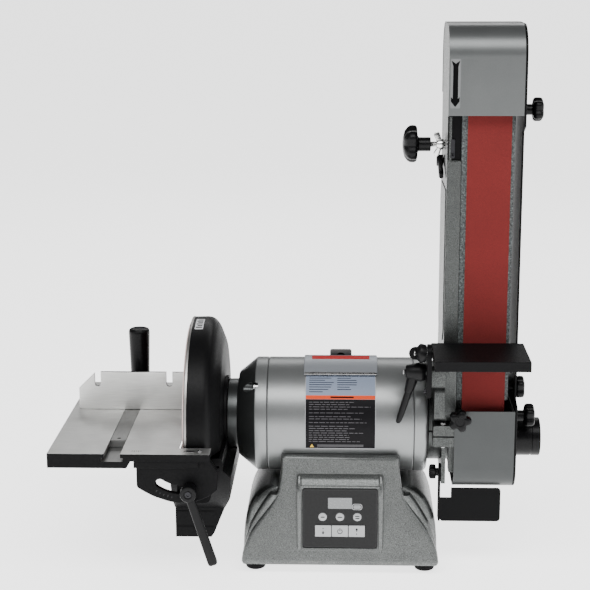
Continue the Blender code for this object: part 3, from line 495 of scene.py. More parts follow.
def crinkle(name, colour, roughness=0.42, depth=0.12, size=900, gleam=0.16):
    """Black paint or moulding with a fine leathery skin."""
    look = Look(name, colour, roughness, Specular_IOR_Level=gleam)
    look.tint(look.texture(size, detail=3.0), 0.3, 0.7, 0.6, 1.6)
    look.gloss(look.texture(size * 0.7, detail=3.0), roughness - 0.1, roughness + 0.14)
    look.bump(look.texture(size, detail=3.0), depth, 0.6)
    look.bump(look.texture(size * 2.2, cells=True), depth * 0.4, 0.4)
    return look


def ground(name, colour, stretch, roughness=0.32):
    """Bare steel with grinding marks that run along the axis with the smallest stretch."""
    look = Look(name, colour, roughness, 1.0)
    lines = look.texture(2600, stretch, detail=3.0)
    look.tint(lines, 0.25, 0.75, 0.84, 1.1)
    look.tint(look.texture(16, detail=4.0), 0.25, 0.75, 0.86, 1.06)
    look.gloss(look.texture(60, detail=5.0), roughness - 0.07, roughness + 0.1)
    look.bump(lines, 0.012, 0.5)
    return look


def bright(name, colour=(0.83, 0.83, 0.82, 1.0), roughness=0.12):
    """Plated metal with faint smudges."""
    look = Look(name, colour, roughness, 1.0)
    look.gloss(look.texture(260, detail=4.0), roughness - 0.05, roughness + 0.12)
    look.tint(look.texture(350, detail=3.0), 0.3, 0.7, 0.9, 1.03)
    look.bump(look.texture(1200, detail=2.0), 0.004, 0.3)
    return look


def abrasive(name, colour, speck=0.3):
    """Close grit on cloth."""
    look = Look(name, colour, 0.92, Specular_IOR_Level=0.25)
    look.tint(look.texture(2300, detail=2.0), 0.33, 0.67, 1 - speck, 1 + speck)
    look.tint(look.texture(14, detail=3.0), 0.3, 0.7, 0.92, 1.06)
    look.bump(look.texture(2600, cells=True), 0.14, 0.8)
    look.bump(look.texture(5200, detail=1.0), 0.06, 0.6)
    return look


def plain(name, colour, roughness=0.5, metallic=0.0, size=1600, depth=0.012, spread=0.1, gleam=0.5):
    """Printed, moulded or anodised surfaces with a slight grain."""
    look = Look(name, colour, roughness, metallic, Specular_IOR_Level=gleam)
    look.tint(look.texture(size, detail=2.0), 0.3, 0.7, 1 - spread, 1 + spread)
    look.gloss(look.texture(size * 0.3, detail=3.0), max(roughness - 0.08, 0.03), roughness + 0.1)
    look.bump(look.texture(size, detail=2.0), depth, 0.5)
    return look


def graphite_look():
    look = Look("platen_graphite", linear(56, 60, 60), 0.7, 0.2)
    look.tint(look.texture(420, detail=3.0), 0.38, 0.6, 0.35, 1.7)
    look.tint(look.texture(900, detail=1.0), 0.5, 0.72, 0.8, 2.2)
    look.bump(look.texture(430, detail=3.0), 0.35, 0.8)
    return look


HAMMER = hammered("hammered_silver_paint", linear(98, 100, 99), 0.85, 0.23)
SHADED = hammered("shaded_silver_paint", linear(58, 60, 59), 0.85, 0.26)
COLUMN = hammered("column_silver_paint", linear(72, 74, 73), 0.85, 0.3)
# A darker copy of the hood's gray paint: painted shade for the bottom cover, which sits under the work rest.
BOTTOM_COVER_SHADE = satin("bottom_cover_painted_shade", linear(60, 62, 62), 0.7, 0.36)
BARREL = satin("motor_silver_paint", linear(132, 134, 134), 0.8, 0.36)
# A darker copy of the barrel's paint: painted shade on the left end bell's chamfer and neck.
BELL_CHAMFER_SHADE = satin("end_bell_painted_shade", linear(70, 72, 72), 0.85, 0.34)
HOOD = satin("hood_gray_paint", linear(92, 94, 94), 0.7, 0.34)
CRINKLE = crinkle("guard_black_crinkle", linear(7, 7, 8), 0.4, 0.12, 900, 0.12)
GUARD_BACK = crinkle("guard_smooth_black", linear(8, 8, 9), 0.5, 0.06, 1400, 0.1)
CAST_BLACK = crinkle("cast_black_paint", linear(6, 6, 7), 0.48, 0.14, 700, 0.09)
SHEET_BLACK = crinkle("sheet_black_paint", linear(5, 5, 6), 0.44, 0.03, 2200, 0.08)
MOULDED = crinkle("moulded_black_plastic", linear(6, 6, 7), 0.32, 0.03, 2000, 0.14)
LEVER_BLACK = crinkle("lever_black_enamel", linear(8, 8, 9), 0.38, 0.05, 1600, 0.16)
TABLE_STEEL = ground("table_ground_steel", linear(222, 222, 220), (0.02, 1, 1), 0.42)
BAR_STEEL = ground("bar_ground_steel", linear(150, 150, 149), (1, 0.02, 1), 0.4)
FENCE_STEEL = ground("fence_milled_steel", linear(216, 216, 214), (0.02, 1, 1), 0.36)
TURNED_STEEL = ground("turned_steel", linear(165, 165, 164), (1, 0.05, 0.05), 0.3)
CHROME = bright("bright_plate")
SCREW = bright("screw_steel", linear(150, 150, 150), 0.25)
DARK_SCREW = bright("black_oxide", linear(48, 48, 50), 0.35)
BELT = abrasive("belt_red_grit", linear(94, 27, 26))
DISC_GRIT = abrasive("disc_red_grit", linear(96, 27, 25), 0.35)
DISC_EDGE = plain("disc_cloth_edge", linear(226, 205, 200), 0.8)
GRAPHITE = graphite_look()
# A bright metal colour for a thin ring on the guard's rim: a painted highlight on its rounded edge.
GUARD_RIM_HIGHLIGHT = ground("guard_rim_painted_highlight", linear(170, 168, 166), (1, 0.05, 0.05), 0.4)
RUBBER = crinkle("foot_rubber", linear(10, 10, 11), 0.7, 0.05, 1500, 0.1)
PANEL = plain("panel_film", linear(7, 7, 8), 0.55, depth=0.02, gleam=0.3)
PANEL_LINE = plain("panel_line", linear(8, 8, 9), 0.6)
KEY_GRAY = plain("key_light_gray", linear(160, 161, 162), 0.45)
GLASS_GRAY = plain("display_window", linear(118, 120, 121), 0.22, depth=0.003)
INK = crinkle("printed_ink", linear(3, 3, 4), 0.7, 0.01, 1600, 0.06)
LABEL_BLUE = plain("label_pale_blue", linear(122, 132, 150), 0.5, gleam=0.15)
LABEL_DARK = plain("label_dark_ink", linear(7, 6, 9), 0.5, gleam=0.12)
LABEL_ORANGE = plain("label_orange", linear(200, 66, 30), 0.5, gleam=0.12)
LABEL_LINE = plain("label_gray_line", linear(62, 60, 64), 0.5)
LABEL_GRAY = plain("label_dark_gray", linear(48, 47, 50), 0.5)
LABEL_EDGE = plain("label_light_edge", linear(150, 151, 154), 0.45)
LABEL_YELLOW = plain("label_yellow", linear(210, 170, 40), 0.45)
BADGE = plain("badge_aluminium", linear(150, 154, 160), 0.4, 0.6, 2400, 0.01, 0.06)
RED_BAR = plain("badge_red_bar", linear(172, 10, 10), 0.5, gleam=0.12)
STICKER = plain("size_sticker", linear(205, 206, 208), 0.4)
SCALE_MARK = plain("scale_mark", linear(52, 52, 52), 0.6)
COPPER = plain("winding_lacquer", linear(150, 84, 52), 0.4, 0.7)


# ---------------------------------------------------------------- base


FRONT_WIDTHS = (
    (12.8, 119.9), (17.0, 120.1), (24.0, 119.2), (34.0, 116.6), (44.0, 112.6), (54.0, 107.2), (64.0, 100.4),
    (74.0, 92.8), (84.0, 85.4), (95.0, 79.0), (107.0, 74.8), (120.0, 72.8), (133.0, 72.1), (146.0, 72.1),
)
SHOULDER_WIDTHS = (
    (12.8, 119.1), (20.0, 119.8), (35.0, 119.2), (52.0, 117.8), (63.0, 115.8), (73.0, 113.0), (81.0, 109.8),
    (88.5, 105.4), (94.0, 100.4), (99.5, 93.6), (104.0, 85.0),
)


def between(table, z):
    """A value read from a table by height, along straight lines."""
    if z <= table[0][0]:
        return table[0][1]
    for (low, first), (high, second) in zip(table, table[1:]):
        if z <= high:
            return first + (second - first) * (z - low) / (high - low)
    return table[-1][1]


def front_y(z):
    return -91.8 + 20.0 * (z - BASE_LOW) / (BASE_TOP - BASE_LOW)


def wall_ring(half, near, far, z, corner):
    """A flat ring with round corners: half its width, its Y range and its height."""
    return [(x, y, z) for x, y in rounded((-half, near), (half, far), corner)]


def base_block(side):
    """The casting's front or rear face: a slab with bell-shaped sides."""
    rings = []
    heights = [BASE_LOW + (BASE_TOP - BASE_LOW) * i / 44 for i in range(45)]
    edge = 3.0
    for z in heights:
        inset = 0.0
        if z > BASE_TOP - edge:
            inset = edge - math.sqrt(max(edge**2 - (z - BASE_TOP + edge) ** 2, 0.0))
        if z < BASE_LOW + 2.0:
            inset = 1.2
        half = between(FRONT_WIDTHS, z) - inset
        near = front_y(z) + inset
        ring = wall_ring(half, near, -50.0, z, 4.5)
        rings.append([(x, -side * y, zz) for x, y, zz in ring])
    return skinned(rings)


def base_shoulders():
    """The casting's middle, which swells out under the motor behind the front face."""
    rings = []
    for i in range(37):
        z = 13.3 + 90.7 * i / 36
        half = between(SHOULDER_WIDTHS, z)
        rings.append(wall_ring(half, -66.0, 66.0, z, 16.0))
    ridges = []
    for i in range(33):
        z = 13.8 + 84.2 * i / 32
        low = between(FRONT_WIDTHS, z)
        half = low + 0.45 * (between(SHOULDER_WIDTHS, z) - low)
        ridges.append(wall_ring(half - 0.5, -78.0, 78.0, z, 6.0))
    return skinned(rings), skinned(ridges)


def surround():
    """The panel's raised surround: two round ribs that rise into a sloping brow."""
    stations = (
        (27.0, 1.6, -86.0), (30.5, 2.6, -89.4), (35.0, 3.0, -90.9), (70.0, 3.1, -91.0),
        (104.0, 3.1, -91.0), (112.0, 3.2, -89.6), (118.0, 3.0, -86.4), (123.5, 2.4, -81.0),
    )
    ribs = []
    for side in (-1, 1):
        x = side * 49.4
        rings = []
        for z, half, proud in stations:
            rings.append([(x + a, y, z) for a, y in arc((0.0, proud + half), half, 180.0, 360.0, 12)]
                         + [(x + half, -74.0, z), (x - half, -74.0, z)])
        ribs.append(skinned(rings))
    brow = [
        [(x, y, z) for x, z in rounded((-51.0, 96.0), (51.0, top), 4.0)]
        for y, top in ((-70.0, 125.6), (-77.0, 123.8), (-82.5, 119.6), (-86.6, 113.6), (-88.8, 109.6))
    ]
    back = [(x, z) for x, z in rounded((-50.4, 29.5), (50.4, 113.4), 4.0)]
    return (*ribs, skinned(brow), prism(back, "Y", -88.6, -76.0))


def base_piece():
    shoulders, ridges = base_shoulders()
    body = raw(base_block(1))
    unite(body, base_block(-1), shoulders, ridges, *surround())
    carve(
        body,
        rod("X", BARREL_R + 0.35, -160.0, 160.0, (0.0, AXIS_Z), 128),
        prism(rounded((-46.2, 33.6), (46.2, 111.3), 3.4), "Y", -95.0, -86.9),
        prism(rounded((-104.0, -78.0), (104.0, 78.0), 10.0), "Z", 10.0, 22.0),
        rod("Y", 9.2, 85.0, 100.0, GLAND),
    )
    skin(body, "base_casting", HAMMER, 1.0, 3, 42.0)
    # Painted shade: the shoulders and side ridges low on the casting get the darker copy of the hammered
    # paint.
    paint(body, SHADED, lambda at, normal: abs(at.y) < 79.0 and normal.y > -0.5 and abs(at.x) > 62.0
          and at.z < 106.0)


def feet():
    for node in ("foot_front_left", "foot_front_right", "foot_rear_left", "foot_rear_right"):
        low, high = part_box(node)
        centre = ((low + high) / 2 - SHIFT) / MM
        profile = [
            (0.1, 0.0), (0.1, 10.4), (0.9, 11.6), (4.4, 12.9), (10.8, 13.1), (11.8, 12.8), (12.4, 12.0),
            (12.4, 0.0),
        ]
        skin(raw(turned(profile, "Z", (centre.x, centre.y), 48)), node, RUBBER)


def control_panel():
    plate = raw(prism(rounded((-45.6, 34.3), (45.6, 110.3), 3.0), "Y", PANEL_FACE, -86.4))
    skin(plate, "control_panel", PANEL, 0.5)
    outer = rounded((-44.2, 35.6), (44.2, 109.0), 2.4)
    inner = rounded((-43.6, 36.2), (43.6, 108.4), 2.0)
    trim(raw(banded(inner, outer, "Y", PANEL_FACE - 0.12, PANEL_FACE + 0.3)), "panel_border", "control_panel",
         PANEL_LINE)
    window = raw(prism(rounded((-14.5, 84.8), (14.5, 98.8), 1.0), "Y", PANEL_FACE - 0.25, PANEL_FACE + 0.4))
    trim(window, "display_window", "control_panel", GLASS_GRAY, 0.2)
    lamp = raw(prism(rounded((16.0, 84.8), (25.5, 89.8), 2.4), "Y", PANEL_FACE - 0.35, PANEL_FACE + 0.4))
    trim(lamp, "indicator_lamp", "control_panel", plain("lamp_gray", linear(128, 130, 132), 0.3), 0.3)
    rim = banded(rounded((15.2, 84.0), (26.3, 90.6), 2.9), rounded((14.6, 83.4), (26.9, 91.2), 3.2), "Y",
                 PANEL_FACE - 0.15, PANEL_FACE + 0.3)
    trim(raw(rim), "indicator_rim", "control_panel", KEY_GRAY)


def segment_marks(name, node, shapes, face_y, look):
    """Raised printed marks: each shape is an outline in X and Z."""
    meshes = [prism(shape, "Y", face_y - 0.12, face_y + 0.1) for shape in shapes]
    return trim(gather(*meshes), name, node, look)


def buttons():
    for node, index in (("button_left", -1), ("button_centre", 0), ("button_right", 1)):
        x = index * 21.0
        profile = [(-84.2, 0.0), (-84.2, 5.1), (-89.0, 5.1), (-89.6, 4.8), (-89.9, 4.1), (-90.0, 0.0)]
        skin(raw(turned(profile, "Y", (x, BUTTON_Z), 48)), node, KEY_GRAY)
        bars = {-1: ((0.0, 5.0),), 0: ((0.0, 6.0),), 1: ((1.4, 5.4), (-1.4, 5.4))}[index]
        shapes = [
            rounded((x - width / 2, BUTTON_Z + up - 0.55), (x + width / 2, BUTTON_Z + up + 0.55), 0.5, 3)
            for up, width in bars
        ]
        segment_marks(f"{node}_mark", node, shapes, -90.0, INK)
        ring = banded(circle(5.9, 48, (x, BUTTON_Z)), circle(6.5, 48, (x, BUTTON_Z)), "Y",
                      PANEL_FACE - 0.15, PANEL_FACE + 0.3)
        trim(raw(ring), f"{node}_ring", "control_panel", PANEL_LINE)


def keys():
    middle = 56.3
    for node, index in (("key_slower", -1), ("key_power", 0), ("key_faster", 1)):
        x = index * KEY_WIDTH
        half = KEY_WIDTH / 2 - 0.45
        body = raw(prism(rounded((x - half, 49.1), (x + half, 63.5), 0.7, 3), "Y", -89.6, -84.2))
        skin(body, node, KEY_GRAY, 0.3)
        if index == 0:
            gap = 28.0
            ring = arc((x, middle - 0.3), 3.2, 90 + gap, 450 - gap, 28)
            inside = arc((x, middle - 0.3), 2.4, 450 - gap, 90 + gap, 28)
            shapes = [ring + inside, rounded((x - 0.4, middle), (x + 0.4, middle + 4.2), 0.3, 3)]
        else:
            tip = middle + index * 4.4
            neck = middle + index * 1.6
            low, high = sorted((neck, neck - index * 2.0))
            dash = middle - index * 3.4
            shapes = [
                [(x - 1.7, neck), (x + 1.7, neck), (x, tip)],
                rounded((x - 0.5, low), (x + 0.5, high), 0.3, 3),
                rounded((x - 0.5, dash - 0.8), (x + 0.5, dash + 0.8), 0.3, 3),
            ]
        segment_marks(f"{node}_mark", node, shapes, -89.6, INK)


def base_extras():
    for node, look in (
        ("bottom_plate", HOOD), ("left_bearing", TURNED_STEEL),
        ("right_bearing", TURNED_STEEL), ("stator", COPPER), ("rotor", TURNED_STEEL),
        ("arbor_shaft", TURNED_STEEL), ("idler_bracket", BAR_STEEL),
    ):
        for slot in frame["nodes"][node].material_slots:
            slot.material = look.material
    profile = [
        (84.5, 4.6), (84.5, 8.8), (92.4, 8.8), (92.6, 11.4), (93.4, 11.5), (99.2, 11.5), (100.0, 11.0),
        (101.0, 9.0), (111.4, 7.0), (112.0, 6.4), (112.0, 4.6),
    ]
    skin(raw(turned(profile, "Y", GLAND, 48)), "cord_gland", MOULDED)


# ---------------------------------------------------------------- motor


def on_barrel(radius, angle):
    """Y and Z of a point round the motor: the angle starts at the front and rises."""
    turn = math.radians(angle)
    return (-radius * math.cos(turn), AXIS_Z + radius * math.sin(turn))


def wrapped(x_range, angles, inner, outer, steps=24):
    """A curved plate that lies round the motor's barrel."""
    spread = [angles[0] + (angles[1] - angles[0]) * i / steps for i in range(steps + 1)]
    section = [on_barrel(outer, a) for a in spread] + [on_barrel(inner, a) for a in reversed(spread)]
    return prism(section, "X", x_range[0], x_range[1])


def motor():
    barrel_profile = [
        (-BARREL_HALF, 64.0), (-BARREL_HALF, 69.6), (-88.4, 70.3), (-87.6, BARREL_R), (87.6, BARREL_R),
        (88.4, 70.3), (BARREL_HALF, 69.6), (BARREL_HALF, 64.0),
    ]
    skin(raw(turned(barrel_profile, "X", (0.0, AXIS_Z), 160)), "motor_housing", BARREL, angle=40.0)
    tab = raw(prism(rounded((-13.5, AXIS_Z + 67.0), (13.5, 257.3), 2.6), "Y", 12.2, 14.8))
    arch = [(-5.6, 247.0)] + [(-5.6 * math.cos(math.radians(a)), 248.0 + 5.2 * math.sin(math.radians(a)))
                              for a in range(0, 181, 15)] + [(5.6, 247.0)]
    carve(tab, prism(arch, "Y", 5.0, 25.0))
    trim(tab, "lifting_tab", "motor_housing", HOOD, 0.5)
    # A black sheet behind the tab's arch: painted shadow in the hole.
    backing = raw(block((-7.5, 7.5), (14.0, 14.7), (246.0, 254.6)))
    trim(backing, "lifting_tab_shadow", "motor_housing", SHEET_BLACK)


def end_bells():
    left = [
        (-BARREL_HALF - 0.3, 64.0), (-BARREL_HALF - 0.3, 69.6), (-90.2, BARREL_R), (-103.0, BARREL_R),
        (-104.3, 69.9), (-125.0, 52.9), (-126.0, 51.4), (-126.2, 44.6), (-127.4, 43.0), (-138.6, 42.8),
        (-139.1, 42.2), (-139.1, 12.2), (-136.0, 12.2), (-136.0, 24.0), (-121.0, 24.0), (-119.0, 46.0),
        (-101.0, 64.0),
    ]
    bell = raw(turned(left, "X", (0.0, AXIS_Z), 160))
    pockets = []
    heads = []
    for angle in (46.0, 134.0, 246.0, 294.0):
        y, z = on_barrel(64.5, angle)
        pockets.append(rod("X", 6.6, -130.0, -100.4, (y, z), 40))
        heads.append(screw_head(y, z, -100.2, -106.4, 3.8))
    carve(bell, *pockets)
    skin(bell, "left_end_bell", BARREL, angle=30.0)
    # Painted shade: the chamfer and neck of the left bell get the darker copy of the barrel's paint.
    paint(bell, BELL_CHAMFER_SHADE, lambda at, normal: at.x < -104.2)
    bolts = gather(*heads)
    trim(bolts, "left_bell_bolts", "left_end_bell", CHROME, 0.35)
    right = [
        (BARREL_HALF + 0.3, 64.0), (BARREL_HALF + 0.3, 69.6), (90.2, BARREL_R), (100.6, BARREL_R),
        (103.4, 69.8), (105.2, 68.2), (105.9, 66.2), (105.9, 41.6), (106.8, 41.0), (141.0, 41.0),
        (141.8, 40.2), (141.8, 12.2), (138.8, 12.2), (138.8, 24.0), (124.0, 24.0), (124.0, 34.0),
        (101.0, 34.0), (101.0, 60.0), (98.0, 64.0),
    ]
    cap = raw(turned(right, "X", (0.0, AXIS_Z), 160))
    skin(cap, "right_end_bell", BARREL, angle=30.0)
    paint(cap, LEVER_BLACK, lambda at, normal: at.x > 105.6)
    heads = []
    for angle in (28.0, 152.0, 208.0, 332.0):
        y, z = on_barrel(54.0, angle)
        heads.append(screw_head(y, z, 105.4, 107.3, 4.4))
    trim(gather(*heads), "right_bell_bolts", "right_end_bell", DARK_SCREW, 0.3)


def screw_head(y, z, low, high, radius, along="X"):
    """A round screw head with a hexagon socket: low is under the head, high its top."""
    inward = 1 if high > low else -1
    sides = 36
    hexagon = [
        (radius * 0.52 / math.cos((a % (math.pi / 3)) - math.pi / 6) * math.cos(a),
         radius * 0.52 / math.cos((a % (math.pi / 3)) - math.pi / 6) * math.sin(a))
        for a in [2 * math.pi * i / sides for i in range(sides)]
    ]
    steps = (
        (circle(radius, sides), low), (circle(radius, sides), high - inward * 0.5),
        (circle(radius * 0.93, sides), high), (hexagon, high), (hexagon, high - inward * 2.0),
    )
    return stacked([(moved(shape, (y, z)), position) for shape, position in steps], along)


def badge():
    """A raised plate over the barrel's top front: the lettering is left out."""
    plate = raw(wrapped((-45.0, 45.0), (57.0, 97.0), 70.8, 73.7, 28))
    skin(plate, "badge_plate", BADGE, 1.3, 4)
    strip = raw(wrapped((-35.5, 35.5), (82.0, 92.0), 73.5, 73.95, 10))
    trim(strip, "badge_bar", "badge_plate", RED_BAR, 0.1)
    lip = raw(wrapped((-44.0, 44.0), (56.2, 59.2), 71.4, 75.0, 6))
    trim(lip, "badge_rolled_lip", "badge_plate", SCREW, 1.4, 4)


def patch(name, x_range, angles, look, lift=0.0):
    """A printed area of the label, a little over the paint below it."""
    piece = wrapped(x_range, angles, BARREL_R + 0.02, BARREL_R + 0.16 + lift, 24)
    return trim(raw(piece), name, "motor_housing", look, angle=60.0)


def printed(rows, name, look):
    """Printed marks on the label: each row is its middle angle, its half height and its X range."""
    bars = [
        wrapped((start, end), (angle - tall, angle + tall), BARREL_R + 0.1, BARREL_R + 0.26, 2)
        for angle, tall, start, end in rows
    ]
    trim(gather(*bars), name, "motor_housing", look, angle=60.0)


def label():
    """The specification label: plain blocks and broken lines stand for its text."""
    patch("label_border", (-42.6, 42.6), (-20.2, 64.4), LABEL_EDGE, -0.06)
    rows = (("label_lower", LABEL_DARK, -19.5, 30.9), ("label_orange_band", LABEL_ORANGE, 31.1, 34.9),
            ("label_upper", LABEL_BLUE, 35.1, 63.7))
    for name, look, low, high in rows:
        patch(name, (-42.0, 42.0), (low, high), look)
    lines = []
    angle = 28.0
    while angle > -12.0:
        start = -38.0
        end = random.uniform(8.0, 37.0)
        while start < end:
            word = random.uniform(3.0, 9.0)
            lines.append((angle, 0.32, start, min(start + word, end)))
            start += word + 1.3
        angle -= 2.3 if random.random() < 0.75 else 3.6
    printed(lines, "label_lower_lines", LABEL_LINE)
    printed(((-16.5, 1.5, -28.0, 28.0),), "label_lower_bar", LABEL_GRAY)
    lines = [(61.0, 0.7, -30.0, 32.0), (57.8, 0.7, -38.0, 38.0), (33.0, 0.7, -12.0, 16.0)]
    for angle in (54.2, 51.6, 49.0, 46.4, 43.8, 41.2, 38.6):
        lines.append((angle, 0.34, -38.0, random.uniform(-22.0, -8.0)))
        if angle > 40.0:
            lines.append((angle, 0.34, -4.0, random.uniform(8.0, 22.0)))
    printed(lines, "label_upper_lines", INK)
    y, z = on_barrel(BARREL_R + 0.1, -16.5)
    mark = [(-36.8, z - 1.9), (-32.0, z - 1.9), (-34.4, z + 2.1)]
    trim(raw(prism(mark, "Y", y - 0.5, y + 0.6)), "label_warning_mark", "motor_housing", LABEL_YELLOW)


def arbor():
    centre = (0.0, AXIS_Z)
    back = DISC_FACE + 1.6
    plate = [
        (back, 0.0), (back, 113.0), (back + 0.6, 113.5), (back + 7.4, 113.5), (back + 8.0, 113.0),
        (back + 8.0, 40.0), (back + 10.0, 26.0), (-148.0, 20.0), (-147.2, 19.4), (-147.2, 8.4),
        (-172.2, 8.4), (-172.2, 0.0),
    ]
    skin(raw(turned(plate, "X", centre, 160)), "disc_plate", TURNED_STEEL, angle=30.0)
    sheet = [
        (DISC_FACE, 0.0), (DISC_FACE, DISC_R - 0.3), (DISC_FACE + 0.3, DISC_R), (DISC_FACE + 1.3, DISC_R),
        (DISC_FACE + 1.3, 0.0),
    ]
    disc = skin(raw(turned(sheet, "X", centre, 160)), "abrasive_disc", DISC_GRIT, angle=30.0)
    paint(disc, DISC_EDGE, lambda at, normal: at.x > DISC_FACE + 0.05)
    make_wheel("drive_wheel", DRIVE_R - 0.4, centre, 8.0)
    make_wheel("idler_wheel", IDLER_R - 0.4, (IDLER_Y, IDLER_Z), 7.0)


def make_wheel(node, radius, centre, rim):
    """A crowned belt wheel."""
    low = BELT_LEFT + 0.3
    high = BELT_LEFT + BELT_WIDTH - 0.3
    middle = (low + high) / 2
    profile = [
        (low, radius - rim), (low, radius - 1.0), (low + 1.0, radius - 0.3), (middle, radius),
        (high - 1.0, radius - 0.3), (high, radius - 1.0), (high, radius - rim),
        (middle + 5.0, radius - rim - 2.0), (middle + 5.0, 18.0), (high - 1.0, 17.0), (high, 16.0),
        (high, 8.4), (low, 8.4), (low, 16.0), (low + 1.0, 17.0), (middle - 5.0, 18.0),
        (middle - 5.0, radius - rim - 2.0),
    ]
    return skin(raw(turned(profile, "X", centre, 112)), node, TURNED_STEEL, angle=30.0)


# ---------------------------------------------------------------- disc side


def guard():
    profile = [
        (-184.5, 119.6), (-184.3, 120.6), (-183.6, 120.9), (-181.6, 120.4), (-166.0, 120.8), (-163.0, 120.5),
        (-160.5, 119.8), (-158.0, 118.5), (-155.6, 116.4), (-153.6, 113.9), (-151.6, 110.7), (-149.8, 106.8),
        (-148.2, 102.8), (-146.8, 99.2), (-145.4, 95.8), (-144.3, 92.0), (-143.7, 87.0), (-143.7, 48.0),
        (-143.2, 46.8), (-140.2, 46.8), (-139.6, 46.2), (-139.6, 27.0), (-140.2, 25.1), (-146.8, 25.1),
        (-147.5, 27.0), (-147.5, 87.0), (-149.0, 94.0), (-151.6, 101.0), (-154.9, 107.5), (-158.3, 112.5),
        (-162.0, 116.0), (-165.0, 117.1), (-184.0, 117.1), (-184.5, 117.6),
    ]
    hood = raw(turned(profile, "X", (0.0, AXIS_Z), 200))
    carve(hood, block((-200.0, -120.0), (-140.0, 140.0), (20.0, GUARD_SPLIT)))
    skin(hood, "disc_guard", CRINKLE, angle=38.0)
    paint(hood, GUARD_BACK, lambda at, normal: at.x > -153.0 and normal.x > 0.2)
    # Painted highlight: a thin ring near the guard's outer rim gets a bright metal colour for the light on
    # its rounded edge.
    paint(hood, GUARD_RIM_HIGHLIGHT, lambda at, normal: at.x < -181.5)
    spread = [74.0 + 15.0 * i / 18 for i in range(19)]
    section = [on_barrel(120.95, a) for a in spread] + [on_barrel(120.4, a) for a in reversed(spread)]
    trim(raw(prism(section, "X", -178.0, -168.0)), "guard_sticker", "disc_guard", STICKER, angle=60.0)
    marks = []
    for step in range(6):
        start = 75.4 + step * 2.2
        spread = [start, start + 0.6, start + 1.2]
        section = [on_barrel(121.0, a) for a in spread] + [on_barrel(120.6, a) for a in reversed(spread)]
        marks.append(prism(section, "X", -176.8 + (step % 2) * 1.5, -169.2))
    trim(gather(*marks), "guard_sticker_lines", "disc_guard", INK, angle=60.0)


def housing_outline(inset, low, steps=40):
    """The lower housing from the disc's side: half a circle above a chute."""
    radius = GUARD_R - inset
    half = HOUSING_HALF - inset
    top = GUARD_SPLIT - 0.3
    reach = math.degrees(math.asin((AXIS_Z - top) / radius))
    meet = math.degrees(math.acos(half / radius))
    right = arc((0.0, AXIS_Z), radius, -reach, -meet, steps)
    left = arc((0.0, AXIS_Z), radius, -180 + meet, -180 + reach, steps)
    return right + [(half, low), (-half, low)] + left


def lock_point():
    angle = math.radians(LOCK_ANGLE)
    return (TILT_X + LOCK_R * math.sin(angle), TABLE_TOP - LOCK_R * math.cos(angle))


def housing():
    outer = raw(prism(housing_outline(0.15, 36.15), "X", -202.9, -126.0))
    ears = []
    for side in (-1, 1):
        near, far = sided(side, 103.0, 134.3)
        ears.append(prism(rounded((-191.8, 108.2), (-152.2, 145.8), 7.0), "Y", near, far))
    ribs = []
    for z in (50.0, 70.0):
        for side in (-1, 1):
            near, far = sided(side, 60.0, 61.85)
            ribs.append(block((-202.6, -155.0), (near, far), (z - 0.9, z + 0.9)))
    unite(outer, *ears)
    behind = [(-139.5, 170.0), (-139.5, 141.0), (-130.0, 132.0), (-133.0, 97.0), (-155.0, 42.0),
              (-163.0, 30.0), (-100.0, 30.0), (-100.0, 170.0)]
    lip = [(-210.0, 128.0), (-199.0, 128.0), (-189.0, 141.0), (-187.0, 170.0), (-210.0, 170.0)]
    hollow = [(-199.0, 120.0), (-188.0, 136.0), (-188.0, 165.0), (-143.5, 165.0), (-143.5, 133.0),
              (-138.0, 126.0), (-138.5, 97.0), (-158.0, 48.0), (-160.0, 40.0), (-199.0, 40.0)]
    cavity = raw(prism(housing_outline(4.0, 40.0), "X", -199.0, -134.0))
    combine(cavity, "INTERSECT", [prism(hollow, "Y", -160.0, 160.0)])
    space = cavity.data.copy()
    bpy.data.objects.remove(cavity)
    lock_x, lock_z = lock_point()
    carve(
        outer,
        prism(behind, "Y", -160.0, 160.0),
        prism(lip, "Y", -160.0, 160.0),
        space,
        block((-199.0, -143.5), (-117.0, 117.0), (145.0, 170.0)),
        rod("X", 25.0, -150.0, -125.0, (0.0, AXIS_Z)),
        rod("X", 45.0, -139.4, -120.0, (0.0, AXIS_Z)),
        rod("Y", 4.5, -140.0, -118.0, (lock_x, lock_z)),
        rod("Y", 13.3, 50.0, 70.0, DISC_PORT),
    )
    skin(outer, "lower_housing", CAST_BLACK, 1.3, 3, 42.0, ("dust_chute",))
    trim(gather(*ribs), "chute_ribs", "lower_housing", GUARD_BACK, 0.5)
    bolt = gather(
        rod("Y", 3.9, 132.0, 145.6, (lock_x, lock_z), 32), screw_head(lock_x, lock_z, 143.5, 148.6, 6.2, "Y"),
    )
    trim(bolt, "rear_trunnion_bolt", "lower_housing", SCREW, 0.3)
    near = HOUSING_HALF + 0.3
    ring = [(near, 13.4), (near, 17.3), (near + 0.5, 17.5), (near + 2.6, 17.5), (near + 3.0, 15.4),
            (80.0, 15.4), (80.4, 15.1), (81.4, 15.1), (81.8, 15.4), (91.4, 15.4), (91.9, 14.9), (91.9, 13.6)]
    skin(raw(turned(ring, "Y", DISC_PORT, 72)), "disc_dust_port", MOULDED)


